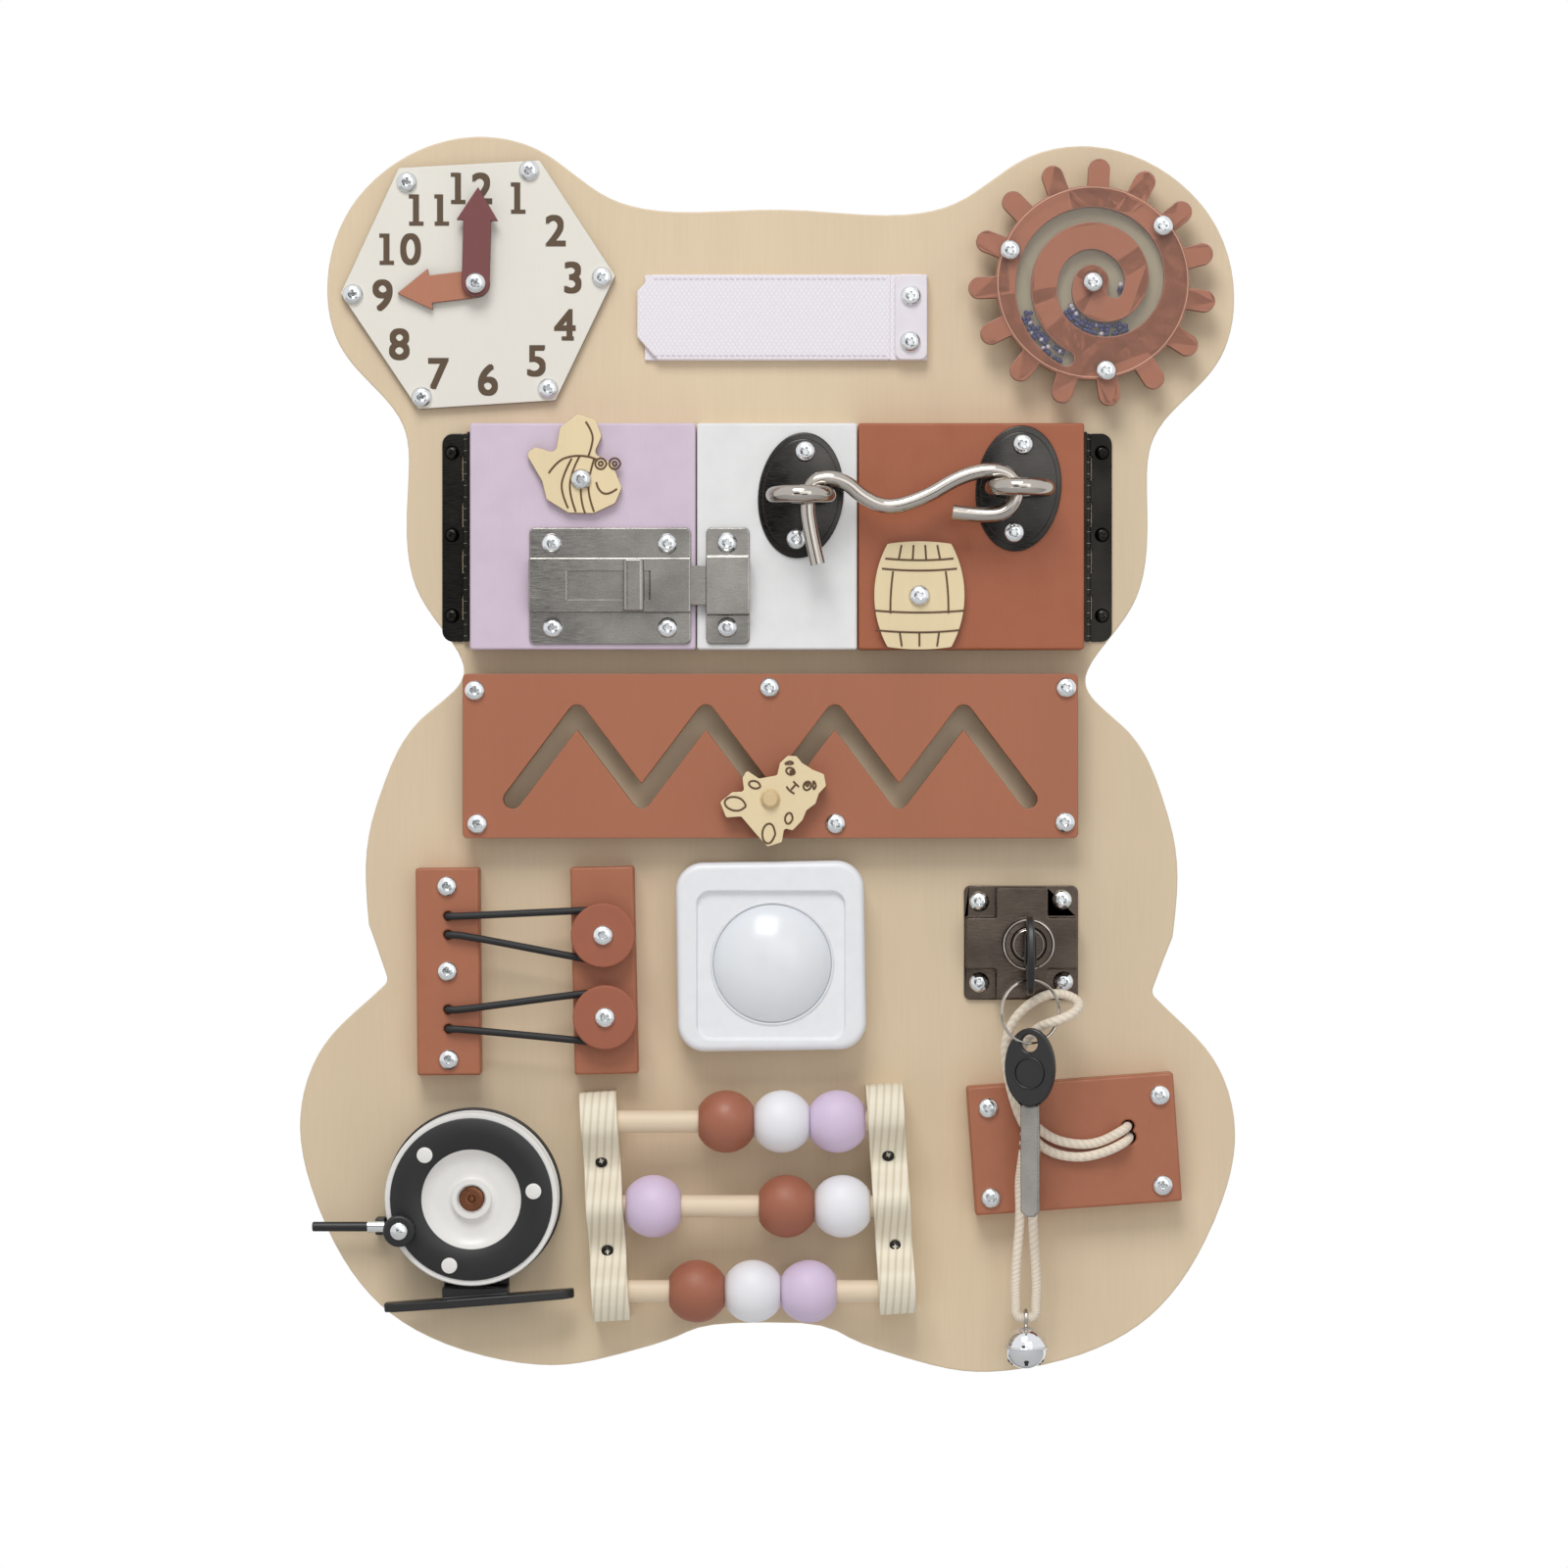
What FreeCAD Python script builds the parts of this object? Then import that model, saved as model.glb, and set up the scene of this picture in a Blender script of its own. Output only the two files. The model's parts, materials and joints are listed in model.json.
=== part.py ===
import FreeCAD, Part
import math
import os
import re

# Millimetres and degrees. The board hangs on a wall: X is right, Z is up, and the front faces -Y.
# "Out" is the distance from the wall, so a point stands at y = -out.
SIZES = {
    # the bear-shaped board
    "board_thick": 10.0, "board_lean": 0.9, "board_shift": 2.2,
    # pan-head wood screws and the black screws of the hinges and rails
    "head_radius": 3.7, "head_top_radius": 2.5, "head_high": 2.2, "shank_radius": 1.7, "bite": 7.0,
    "small_head_radius": 2.6, "small_head_high": 1.1, "pivot_gap": 0.08, "turn_gap": 0.2,
    # clock
    "clock_thick": 3.0, "hand_thick": 2.5, "hand_wide": 10.0, "hand_head": 15.0, "hand_tail": 5.0,
    "minute_long": 34.5, "hour_long": 28.5, "hand_point": 12.0,
    # strap of hook-and-loop webbing
    "strap_wide": 30.8, "strap_base_thick": 1.5, "flap_thick": 2.0, "flap_long": 90.0, "strap_end": 57.5,
    "strap_middle": 157.3, "clamp_thick": 1.5, "clamp_wide": 11.6, "flap_slack": 1.6,
    # maze wheel
    "maze_x": 116.6, "maze_z": 169.1, "maze_lift": 4.0, "maze_floor_thick": 3.0, "maze_channel_thick": 4.0,
    "maze_window_thick": 2.0, "maze_root_radius": 34.8, "maze_tip_radius": 44.5, "tooth_wide": 7.8,
    "tooth_count": 15, "tooth_start": 86.6, "channel_wide": 5.5, "seed_radius": 0.9,
    # doors and the fixed block between them
    "door_wide": 80.9, "door_tall": 81.1, "door_thick": 12.6, "door_lift": 0.4, "door_gap": 0.4,
    "door_middle": 78.1, "block_wide": 57.4, "block_middle": 3.5, "block_edge": 1.0,
    # door hinges
    "leaf_thick": 1.0, "leaf_wide": 7.2, "leaf_tall": 75.0, "knuckle_radius": 1.3, "knuckle_count": 9,
    "pin_radius": 0.7, "knuckle_gap": 0.3,
    # barrel bolt and keeper
    "plate_metal": 1.2, "bolt_plate_wide": 57.9, "bolt_plate_tall": 41.8, "bolt_x": -56.25, "bolt_z": 60.3,
    "channel_tall": 19.0, "channel_high": 6.0, "bolt_bar_tall": 14.1, "bolt_bar_thick": 4.0,
    "bolt_bar_long": 63.0, "bolt_bar_tip": -9.0, "window_long": 29.2, "window_tall": 10.2,
    "window_x": -56.7, "bolt_neck": 6.0, "knob_wide": 7.5, "knob_tall": 18.3, "knob_high": 5.0,
    "keeper_wide": 15.6, "keeper_x": -14.1, "keeper_channel": 20.8, "keeper_high": 6.4,
    # cabin hook and its two eyes
    "eye_plate_wide": 30.6, "eye_plate_tall": 45.2, "eye_plate_thick": 1.5, "eye_radius": 9.4,
    "eye_wire": 3.2, "eye_reach": 12.8, "left_eye_x": 12.0, "left_eye_z": 92.2, "right_eye_x": 89.9,
    "right_eye_z": 94.8, "hook_radius": 2.7,
    # bee and barrel
    "charm_thick": 3.0, "bee_x": -66.5, "bee_z": 98.3, "barrel_x": 54.4, "barrel_z": 56.8,
    "barrel_tall": 37.0, "barrel_wide": 32.4, "barrel_end": 22.9,
    # zigzag panel and its slider
    "panel_wide": 220.5, "panel_tall": 58.9, "panel_thick": 6.0, "panel_lift": 6.0, "panel_x": 1.1,
    "panel_z": -0.55, "panel_corner": 1.8, "slot_wide": 6.7, "slot_gap": 0.3, "slot_rise": 30.5,
    "slot_pitch": 46.15, "slot_middle": -0.8, "slot_middle_x": 1.1, "spacer_radius": 3.4, "foot_radius": 6.0,
    "foot_thick": 2.5, "bear_thick": 4.0, "bear_lift": 2.7,
    # painted blocks
    "painted_thick": 12.0, "band_block_wide": 22.8, "band_block_tall": 74.3, "band_block_x": -114.3,
    "band_block_z": -77.8, "knob_block_x": -58.4, "cord_block_wide": 74.1, "cord_block_tall": 46.1,
    "cord_block_x": 110.05, "cord_block_z": -139.6, "cord_block_tilt": -4.1, "painted_edge": 1.2,
    # band knobs and elastic bands
    "band_knob_radius": 11.5, "band_knob_cap": 4.0, "band_neck_radius": 7.5, "band_neck_high": 4.0,
    "band_radius": 1.15, "band_hole_radius": 1.5,
    # push light
    "light_wide": 67.6, "light_high": 16.0, "light_x": 1.3, "light_z": -72.2, "light_corner": 10.0,
    "light_edge": 2.5, "light_recess_wide": 53.0, "light_recess": 2.0, "recess_z": -75.4,
    "dome_radius": 21.1, "dome_gap": 0.4, "dome_rise": 8.0, "dome_skirt": 6.0, "light_press": 2.5,
    "dome_x": 1.8, "dome_z": -74.8,
    # drawer lock
    "lock_wide": 41.1, "lock_plate_thick": 1.6, "lock_body_high": 10.0, "lock_x": 91.35, "lock_z": -67.75,
    "lock_notch": 11.4, "lock_barrel_radius": 9.2, "lock_barrel_long": 10.0, "plug_radius": 6.0,
    "plug_gap": 0.08, "plug_deep": 14.0, "lock_barrel_x": 93.3, "lock_barrel_z": -67.9,
    # keys, key ring and bell
    "bow_long": 28.0, "bow_wide": 18.7, "bow_thick": 2.6, "bow_hole_radius": 3.1, "bow_hole_in": 5.4, "blade_wide": 7.0,
    "blade_thick": 2.0, "blade_long": 39.0, "ring_radius": 11.2, "ring_wire": 0.8, "ring_turn": 22.0,
    "ring_out": 42.5, "bell_radius": 7.6, "bell_x": 92.5, "bell_z": -212.2, "bell_out": 24.0,
    "bell_loop": 2.9, "bell_loop_wire": 0.7,
    # cotton cords
    "cord_radius": 1.7, "cord_hole_radius": 2.3, "knot_radius": 3.4, "knot_z": -137.6, "knot_out": 30.4,
    # toy reel
    "reel_x": -105.6, "reel_z": -158.8, "reel_plate_radius": 31.7, "reel_plate_thick": 3.0,
    "spool_radius": 31.0, "spool_wide": 16.0, "spool_gap": 0.5, "spool_core": 22.0, "spool_flange": 3.0,
    "dish_radius": 17.4, "dish_deep": 2.5, "hub_radius": 7.2, "hub_bore": 5.0, "axle_radius": 3.0,
    "knob_radius": 5.7, "knob_long": 6.5, "knob_x": -131.0, "knob_z": -169.7, "foot_long": 68.3,
    "foot_high": 3.2, "foot_z": -195.3, "stem_wide": 23.4, "guide_x": -150.0, "guide_z": -169.4,
    "guide_long": 26.5, "guide_radius": 1.75,
    # abacus
    "rail_wide": 13.2, "rail_tall": 81.8, "rail_valley": 13.0, "rail_wave": 10.0, "left_rail_x": -58.1,
    "left_rail_z": -161.8, "right_rail_x": 44.4, "right_rail_z": -159.3, "rail_tilt": 3.6,
    "rod_radius": 4.0, "rod_out": 25.0, "rod_bite": 8.0, "rod_gap": 0.1, "bead_radius": 11.2,
    "bead_long": 19.7, "bead_bore_gap": 0.1, "bead_edge": 1.6, "row_top": -131.3, "row_middle": -161.6,
    "row_bottom": -192.0,
}

# Half of the bear's outline: from the top of its head to the notch at its hip, and from the notch to its seat.
UPPER_HALF = [
    (0, 196.4), (38, 195.0), (62, 199.5), (88, 216.5), (110.4, 221.0), (136, 213.3), (156.2, 193.4),
    (163.4, 168.0), (157.4, 143.0), (135, 115.7), (133.2, 95.0), (129.2, 57.0), (119.5, 42.5),
    (112.0, 28.0), (127, 11.0), (140.3, -13.0), (146.3, -42.4), (145, -62.0), (138.09, -81.93),
]
NOTCH_MIDDLE = (138.0, -83.69)
LOWER_HALF = [
    (138.84, -85.24), (159.8, -106.5), (168.5, -134.0), (162.5, -163.0), (138, -201.0), (104, -217.6),
    (77, -221.3), (51, -216.6), (28, -207.0), (0, -204.7),
]

# A screw's place as (x, z).
CLOCK_CORNERS = [(-132.7, 211.1), (-81.9, 213.9), (-54.7, 172.3), (-76.2, 127.4), (-125.7, 124.3),
                 (-153.6, 165.9)]
CLOCK_SCREWS = [(-129.7, 205.9), (-85.7, 210.1), (-59.5, 171.8), (-78.9, 131.6), (-124.3, 128.6),
                (-149.1, 165.6)]
CLOCK_PIVOT = (-104.7, 169.2)
CLAMP_SCREWS = [(51.6, 164.9), (51.4, 148.4)]
MAZE_SCREWS = [(141.6, 189.2), (87.0, 180.5), (121.3, 137.5)]
BOLT_SCREWS = [(-77.1, 75.3), (-35.7, 75.3), (-76.7, 45.3), (-35.6, 45.3)]
KEEPER_SCREWS = [(-14.3, 75.6), (-14.3, 45.4)]
LEFT_EYE_SCREWS = [(13.6, 108.4), (10.4, 77.0)]
RIGHT_EYE_SCREWS = [(91.5, 111.0), (88.3, 79.4)]
HINGE_SCREW_ROWS = [108.7, 79.1, 50.0]
PANEL_SCREWS = [(-104.7, 22.9), (0.8, 23.9), (107.0, 23.9), (-103.8, -24.9), (24.5, -24.7), (106.6, -24.3)]
BAND_SCREWS = [(-114.7, -47.3), (-114.5, -77.7), (-114.0, -109.3)]
BAND_HOLES = [(-114.4, -57.9), (-114.4, -64.6), (-114.4, -91.4), (-114.2, -98.3)]
BAND_KNOBS = [(-58.6, -64.6), (-57.9, -93.9)]
LOCK_SCREWS = [(76.2, -52.9), (106.1, -52.3), (76.2, -82.1), (106.6, -81.8)]
CORD_SCREWS = [(79.1, -126.7), (140.5, -122.1), (80.1, -158.8), (141.6, -154.3)]
RAIL_SCREWS = [(-59.4, -145.6), (-57.2, -177.9), (43.3, -143.4), (45.8, -176.1)]
CORD_HOLE = (129.6, -138.0)

# The maze's channel: its turn in degrees and its middle line's distance from the wheel's centre.
SPIRAL = [(-20, 8.4), (35, 8.8), (90, 9.2), (135, 9.3), (180, 9.8), (225, 12.3), (270, 16.0), (315, 19.9),
          (360, 22.8), (405, 24.0), (450, 24.4), (495, 24.4), (540, 24.8), (580, 26.6), (611, 28.8)]
# Where seeds lie in the channel: the first and last turn of a row of them, and how many there are.
SEED_PILES = [(236, 300, 9), (574, 606, 7), (-14, -14, 1)]

# A bead's node, its rod's row and the place of its middle along the rod.
BEADS = [
    ("top_brown_bead", "row_top", -14.7), ("top_white_bead", "row_top", 5.2),
    ("top_lilac_bead", "row_top", 25.1), ("middle_lilac_bead", "row_middle", -40.7),
    ("middle_brown_bead", "row_middle", 6.9), ("middle_white_bead", "row_middle", 26.9),
    ("bottom_brown_bead", "row_bottom", -25.1), ("bottom_white_bead", "row_bottom", -5.1),
    ("bottom_lilac_bead", "row_bottom", 14.9),
]

# The cords' routes as (x, out, z), chosen by hand from where the cords lie.
KEY_CORD = [
    (129.9, 15.0, -137.2), (129.9, 23.2, -137.2), (126.0, 26.8, -139.8), (119.5, 24.6, -142.8),
    (111.5, 24.2, -144.4), (102.5, 24.3, -143.0), (96.0, 24.8, -138.8), (90.8, 25.4, -131.2),
    (87.5, 26.8, -121.8), (85.3, 28.6, -111.0), (84.8, 30.4, -102.6), (87.5, 31.6, -94.8),
    (93.3, 32.2, -88.8), (100.6, 31.2, -85.2), (107.2, 31.4, -85.6), (111.6, 35.0, -88.6),
    (109.2, 41.0, -91.8), (103.0, 43.0, -94.4), (96.6, 38.0, -96.6), (91.8, 34.0, -102.0),
    (88.2, 31.2, -110.5), (88.6, 28.6, -120.6), (92.2, 26.6, -129.0), (98.0, 25.2, -135.0),
    (104.6, 24.4, -138.6), (113.6, 24.2, -139.8), (120.0, 24.6, -138.4), (125.6, 26.8, -135.2),
    (129.3, 23.2, -133.2), (129.3, 15.0, -133.2),
]
BELL_CORD = [
    (91.5, 30.0, -141.35), (90.8, 28.8, -147.0), (90.0, 26.4, -153.0), (90.6, 25.4, -166.0),
    (89.2, 24.6, -180.0), (88.8, 24.2, -190.0), (88.9, 24.0, -196.0), (89.0, 24.0, -201.6),
    (96.0, 24.0, -201.6), (96.1, 24.0, -196.0), (96.4, 24.2, -190.0), (95.8, 24.6, -180.0),
    (94.8, 25.4, -166.0), (95.4, 26.4, -153.0), (95.4, 28.8, -147.0), (95.1, 30.0, -141.35),
]
HOOK_ROUTE = [
    (18.0, 67.5), (15.6, 78.0), (14.1, 88.0), (15.3, 96.7), (21.6, 98.7), (28.6, 96.6), (33.8, 91.5),
    (43.0, 87.2), (56.4, 91.4), (68.0, 98.6), (78.6, 101.4), (86.6, 99.8), (89.4, 93.0), (85.6, 86.0),
    (77.0, 84.6), (66.0, 86.2),
]


class Sizes:
    """The sheet's values by name."""


mm = Sizes()
for alias, value in SIZES.items():
    setattr(mm, alias, value)

doc = FreeCAD.newDocument("busy_board")
sheet = doc.addObject("Spreadsheet::Sheet", "Sizes")
for row, (alias, value) in enumerate(SIZES.items(), start=1):
    sheet.set("A%d" % row, alias)
    sheet.set("B%d" % row, str(value))
    sheet.setAlias("B%d" % row, alias)
doc.recompute()

NODES = {}

board_face = mm.board_thick
door_back = board_face + mm.door_lift
door_face = door_back + mm.door_thick
painted_face = board_face + mm.painted_thick
panel_back = board_face + mm.panel_lift
panel_face = panel_back + mm.panel_thick
charm_back = door_face + mm.turn_gap
charm_face = charm_back + mm.charm_thick
screw_hole = mm.shank_radius + mm.pivot_gap
DOOR_FACE = "board_thick + door_lift + door_thick"
PAINTED_FACE = "board_thick + painted_thick"


def at(x, out, z):
    """A point from its place across, out from the wall, and up."""
    return FreeCAD.Vector(x, -out, z)


def formula(text):
    """A formula in the sheet's aliases."""
    return re.sub(r"[a-z_]+", lambda word: "Sizes." + word.group(), text)


def keep(label, thing):
    """Name an object as a node of the assembly."""
    thing.Label = label
    NODES[label] = thing
    return thing


def shaped(label, shape):
    """A node whose shape is made from the sheet's values in code."""
    thing = doc.addObject("Part::Feature", label)
    thing.Shape = shape
    return keep(label, thing)


def plane_of(body, role):
    """One of a body's own origin planes."""
    return [item for item in body.Origin.OriginFeatures if item.Role == role][0]


def sketch_on(body, name, role, geometry):
    """A sketch on one of the body's planes, from closed runs of curves."""
    sketch = body.newObject("Sketcher::SketchObject", name)
    sketch.AttachmentSupport = [(plane_of(body, role), "")]
    sketch.MapMode = "FlatFace"
    sketch.addGeometry(geometry)
    return sketch


def corners_rounded(points, radius):
    """A closed outline through (x, z) points as lines and tangent arcs; one radius, or one for each."""
    radii = radius if isinstance(radius, list) else [radius] * len(points)
    places = [FreeCAD.Vector(x, z, 0) for x, z in points]
    starts, ends, middles = [], [], []
    for index, here in enumerate(places):
        before = (places[index - 1] - here).normalize()
        after = (places[(index + 1) % len(places)] - here).normalize()
        half = before.getAngle(after) / 2
        reach = radii[index] / math.tan(half)
        inward = (before + after).normalize()
        starts.append(here + before * reach)
        ends.append(here + after * reach)
        middles.append(here + inward * (radii[index] / math.sin(half) - radii[index]))
    curves = []
    for index in range(len(places)):
        if radii[index] > 0:
            curves.append(Part.Arc(starts[index], middles[index], ends[index]))
        following = starts[(index + 1) % len(places)]
        if (following - ends[index]).Length > 0.001:
            curves.append(Part.LineSegment(ends[index], following))
    return curves


def circle(x, z, radius):
    """A circle as sketch geometry."""
    return Part.Circle(FreeCAD.Vector(x, z, 0), FreeCAD.Vector(0, 0, 1), radius)


def ellipse(x, z, wide, tall):
    """An ellipse as sketch geometry, the longer axis first found."""
    centre = FreeCAD.Vector(x, z, 0)
    across, up = FreeCAD.Vector(wide / 2, 0, 0), FreeCAD.Vector(0, tall / 2, 0)
    if wide >= tall:
        return Part.Ellipse(centre + across, centre + up, centre)
    return Part.Ellipse(centre + up, centre - across, centre)


def edge_names(shape, wanted):
    """The names of the edges that the test picks."""
    return ["Edge%d" % (n + 1) for n, edge in enumerate(shape.Edges) if wanted(edge)]


def runs_out(edge):
    """Whether an edge runs straight out from the wall."""
    first, last = edge.Vertexes[0].Point, edge.Vertexes[-1].Point
    return math.hypot(first.x - last.x, first.z - last.z) < 0.001 < abs(first.y - last.y)


def place(body, x, out, z, turn=0.0):
    """Put a body's back face at its distance from the wall, turned clockwise as seen from the front."""
    body.Placement = FreeCAD.Placement(
        FreeCAD.Vector(x, 0, z), FreeCAD.Rotation(FreeCAD.Vector(0, 1, 0), turn))
    body.setExpression(".Placement.Base.y", "-(%s)" % formula(out))
    return body


def plate(label, outline, thick, out, holes=(), x=0.0, z=0.0, turn=0.0, node=True):
    """A flat piece: its outline and round holes padded forward from its back face."""
    body = doc.addObject("PartDesign::Body", label)
    geometry = list(outline) + [circle(*hole) for hole in holes]
    sketch = sketch_on(body, label + "_outline", "XZ_Plane", geometry)
    pad = body.newObject("PartDesign::Pad", label + "_pad")
    pad.Profile = sketch
    pad.setExpression("Length", formula(thick))
    place(body, x, out, z, turn)
    doc.recompute()
    return keep(label, body) if node else body


def rectangle(body, name, wide, tall, x=0.0, z=0.0):
    """A rectangle about a point, its width and height tied to the sheet."""
    corners = [FreeCAD.Vector(x + sx, z + sz, 0) for sx, sz in ((-5, -5), (5, -5), (5, 5), (-5, 5))]
    lines = [Part.LineSegment(corners[n], corners[(n + 1) % 4]) for n in range(4)]
    sketch = sketch_on(body, name, "XZ_Plane", lines)
    import Sketcher
    for n in range(4):
        sketch.addConstraint(Sketcher.Constraint("Coincident", n, 2, (n + 1) % 4, 1))
        sketch.addConstraint(Sketcher.Constraint("Horizontal" if n % 2 == 0 else "Vertical", n))
    middle = sketch.addGeometry(Part.Point(FreeCAD.Vector(x, z, 0)), True)
    sketch.addConstraint(Sketcher.Constraint("DistanceX", -1, 1, middle, 1, x))
    sketch.addConstraint(Sketcher.Constraint("DistanceY", -1, 1, middle, 1, z))
    sketch.addConstraint(Sketcher.Constraint("Symmetric", 0, 1, 1, 2, middle, 1))
    width = sketch.addConstraint(Sketcher.Constraint("DistanceX", 0, 1, 0, 2, 10))
    height = sketch.addConstraint(Sketcher.Constraint("DistanceY", 1, 1, 1, 2, 10))
    sketch.renameConstraint(width, "wide")
    sketch.renameConstraint(height, "tall")
    sketch.setExpression("Constraints.wide", formula(wide))
    sketch.setExpression("Constraints.tall", formula(tall))
    return sketch


def block(label, wide, tall, thick, out, x, z, turn=0.0, corner=None, edge=None, node=True):
    """A rectangular block with optional rounded corners and a softened front edge."""
    body = doc.addObject("PartDesign::Body", label)
    pad = body.newObject("PartDesign::Pad", label + "_pad")
    pad.Profile = rectangle(body, label + "_outline", wide, tall)
    pad.setExpression("Length", formula(thick))
    doc.recompute()
    feature = pad
    if corner:
        feature = rounded(body, feature, label + "_corners", corner, runs_out)
    if edge:
        front = feature.Shape.BoundBox.YMin
        feature = rounded(body, feature, label + "_edge", edge,
                          lambda line: all(abs(v.Point.y - front) < 0.001 for v in line.Vertexes))
    place(body, x, out, z, turn)
    doc.recompute()
    return keep(label, body) if node else body


def rounded(body, feature, name, radius, wanted):
    """Round the picked edges of a body's last feature."""
    fillet = body.newObject("PartDesign::Fillet", name)
    fillet.Base = (feature, edge_names(feature.Shape, wanted))
    fillet.setExpression("Radius", formula(radius))
    doc.recompute()
    return fillet


def pocket(body, name, sketch, depth):
    """Cut a sketch into a body from its back plane forward."""
    cut = body.newObject("PartDesign::Pocket", name)
    cut.Profile = sketch
    cut.setExpression("Length", formula(depth))
    cut.Reversed = True
    before = body.Shape.Volume if body.Shape else 0
    doc.recompute()
    if not cut.Shape.Volume < before:
        raise RuntimeError("the pocket %s cuts nothing" % name)
    return cut


def rod(name, radius, length, x, out, z, direction):
    """A round bar from its first end, along a direction, its size tied to the sheet."""
    bar = doc.addObject("Part::Cylinder", name)
    bar.setExpression("Radius", formula(radius))
    bar.setExpression("Height", formula(length))
    turn = FreeCAD.Rotation(FreeCAD.Vector(0, 0, 1), direction)
    bar.Placement = FreeCAD.Placement(at(x, out, z), turn)
    return bar


def prism(sides, radius, x, z, back, front, front_radius=None):
    """A straight or tapered prism of a few sides, standing out from back to front."""
    rings = []
    for out, size in ((back, radius), (front, front_radius or radius)):
        corners = [at(x + size * math.cos(2 * math.pi * n / sides), out,
                      z + size * math.sin(2 * math.pi * n / sides)) for n in range(sides)]
        rings.append(Part.makePolygon(corners + corners[:1]))
    return Part.makeLoft(rings, True, True)


def screw(x, z, seat, bite, round_shank=False, head=None, high=None):
    """A screw: its head on the seat and its shank running back towards the wall."""
    head = head or mm.head_radius
    high = high or mm.head_high
    top = head * mm.head_top_radius / mm.head_radius
    cap = prism(10, head, x, z, seat, seat + high, top)
    if round_shank:
        shank = Part.makeCylinder(mm.shank_radius, bite, at(x, seat + 0.01, z), FreeCAD.Vector(0, 1, 0))
    else:
        shank = prism(6, mm.shank_radius, x, z, seat - bite, seat + 0.01)
    return cap.fuse(shank)


def screws(label, seats):
    """One node of like screws, each a solid of its own."""
    return shaped(label, Part.makeCompound([screw(*seat) for seat in seats]))


def round_path(points):
    """Straight runs joined by tangent arcs through a route's points, and the arcs' radii."""
    edges, radii, last = [], [], points[0]
    for before, here, after in zip(points, points[1:], points[2:]):
        back, on = before - here, after - here
        half = back.getAngle(on) / 2
        reach = 0.45 * min(back.Length, on.Length)
        radius = reach * math.tan(half)
        back.normalize()
        on.normalize()
        start, end = here + back * reach, here + on * reach
        middle = here + (back + on).normalize() * (radius / math.sin(half) - radius)
        edges += [Part.LineSegment(last, start).toShape(), Part.Arc(start, middle, end).toShape()]
        radii.append(radius)
        last = end
    edges.append(Part.LineSegment(last, points[-1]).toShape())
    return Part.Wire(edges), radii


def tube(name, points, radius):
    """A round tube along a route; its volume is checked against its section times its length."""
    path, radii = round_path(points)
    start = points[0]
    ring = Part.makeCircle(radius, start, points[1] - start)
    solid = path.makePipeShell([Part.Wire([ring])], True, False)
    share = solid.Volume / (math.pi * radius ** 2 * path.Length)
    print("%s: %.0f mm long, least radius %.1f mm, volume %.3f of section times length"
          % (name, path.Length, min(radii), share))
    if abs(share - 1) > 0.01:
        raise RuntimeError("the tube %s is not whole" % name)
    return solid


def solid_of(outline, back, thick):
    """A flat solid from closed (x, z) curves, standing out from back."""
    wire = Part.Wire(Part.sortEdges([curve.toShape() for curve in outline])[0])
    wire.rotate(FreeCAD.Vector(), FreeCAD.Vector(1, 0, 0), 90)
    wire.translate(at(0, back, 0))
    return Part.Face(wire).extrude(at(0, thick, 0))


def make_board():
    """The bear-shaped plywood board, with its cord hole left to the cord block."""
    right = []
    for run, at_top in ((UPPER_HALF, True), (LOWER_HALF, False)):
        curve = Part.BSplineCurve()
        places = [FreeCAD.Vector(x, z, 0) for x, z in run]
        first = FreeCAD.Vector(1, 0, 0) if at_top else (places[1] - places[0]).normalize()
        last = (places[-1] - places[-2]).normalize() if at_top else FreeCAD.Vector(-1, 0, 0)
        curve.interpolate(Points=places, InitialTangent=first, FinalTangent=last)
        right.append(curve)
    notch = [FreeCAD.Vector(x, z, 0) for x, z in (UPPER_HALF[-1], NOTCH_MIDDLE, LOWER_HALF[0])]
    right.append(Part.Arc(*notch))
    left = []
    for curve in right:
        twin = curve.copy()
        twin.mirror(FreeCAD.Vector(), FreeCAD.Vector(0, 1, 0))
        left.append(twin)
    body = plate("board", right + left, "board_thick", "0", turn=mm.board_lean, x=mm.board_shift)
    if not abs(body.Shape.BoundBox.YMin + mm.board_thick) < 0.01:
        raise RuntimeError("the board does not stand forward of the wall")


def hand_outline(length):
    """A clock hand pointing up from its pivot: a rounded tail, a shaft and an arrow head."""
    half, head, neck = mm.hand_wide / 2, mm.hand_head / 2, length - mm.hand_point
    points = [(-half, 0), (-half, neck), (-head, neck), (0, length), (head, neck), (half, neck), (half, 0)]
    places = [FreeCAD.Vector(x, z, 0) for x, z in points]
    lines = [Part.LineSegment(a, b) for a, b in zip(places, places[1:])]
    return lines + [Part.Arc(places[-1], FreeCAD.Vector(0, -mm.hand_tail, 0), places[0])]


def make_clock():
    """The hexagonal clock face and its two hands, which turn on one screw."""
    shank = [(CLOCK_PIVOT[0], CLOCK_PIVOT[1], mm.shank_radius)]
    plate("clock_face", corners_rounded(CLOCK_CORNERS[::-1], 1.0), "clock_thick", "board_thick", shank)
    hole = [(0, 0, screw_hole)]
    plate("hour_hand", hand_outline(mm.hour_long), "hand_thick", "board_thick + clock_thick + turn_gap",
          hole, CLOCK_PIVOT[0], CLOCK_PIVOT[1], -97.0)
    plate("minute_hand", hand_outline(mm.minute_long), "hand_thick",
          "board_thick + clock_thick + hand_thick + 2 * turn_gap", hole, CLOCK_PIVOT[0], CLOCK_PIVOT[1], 1.5)


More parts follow.
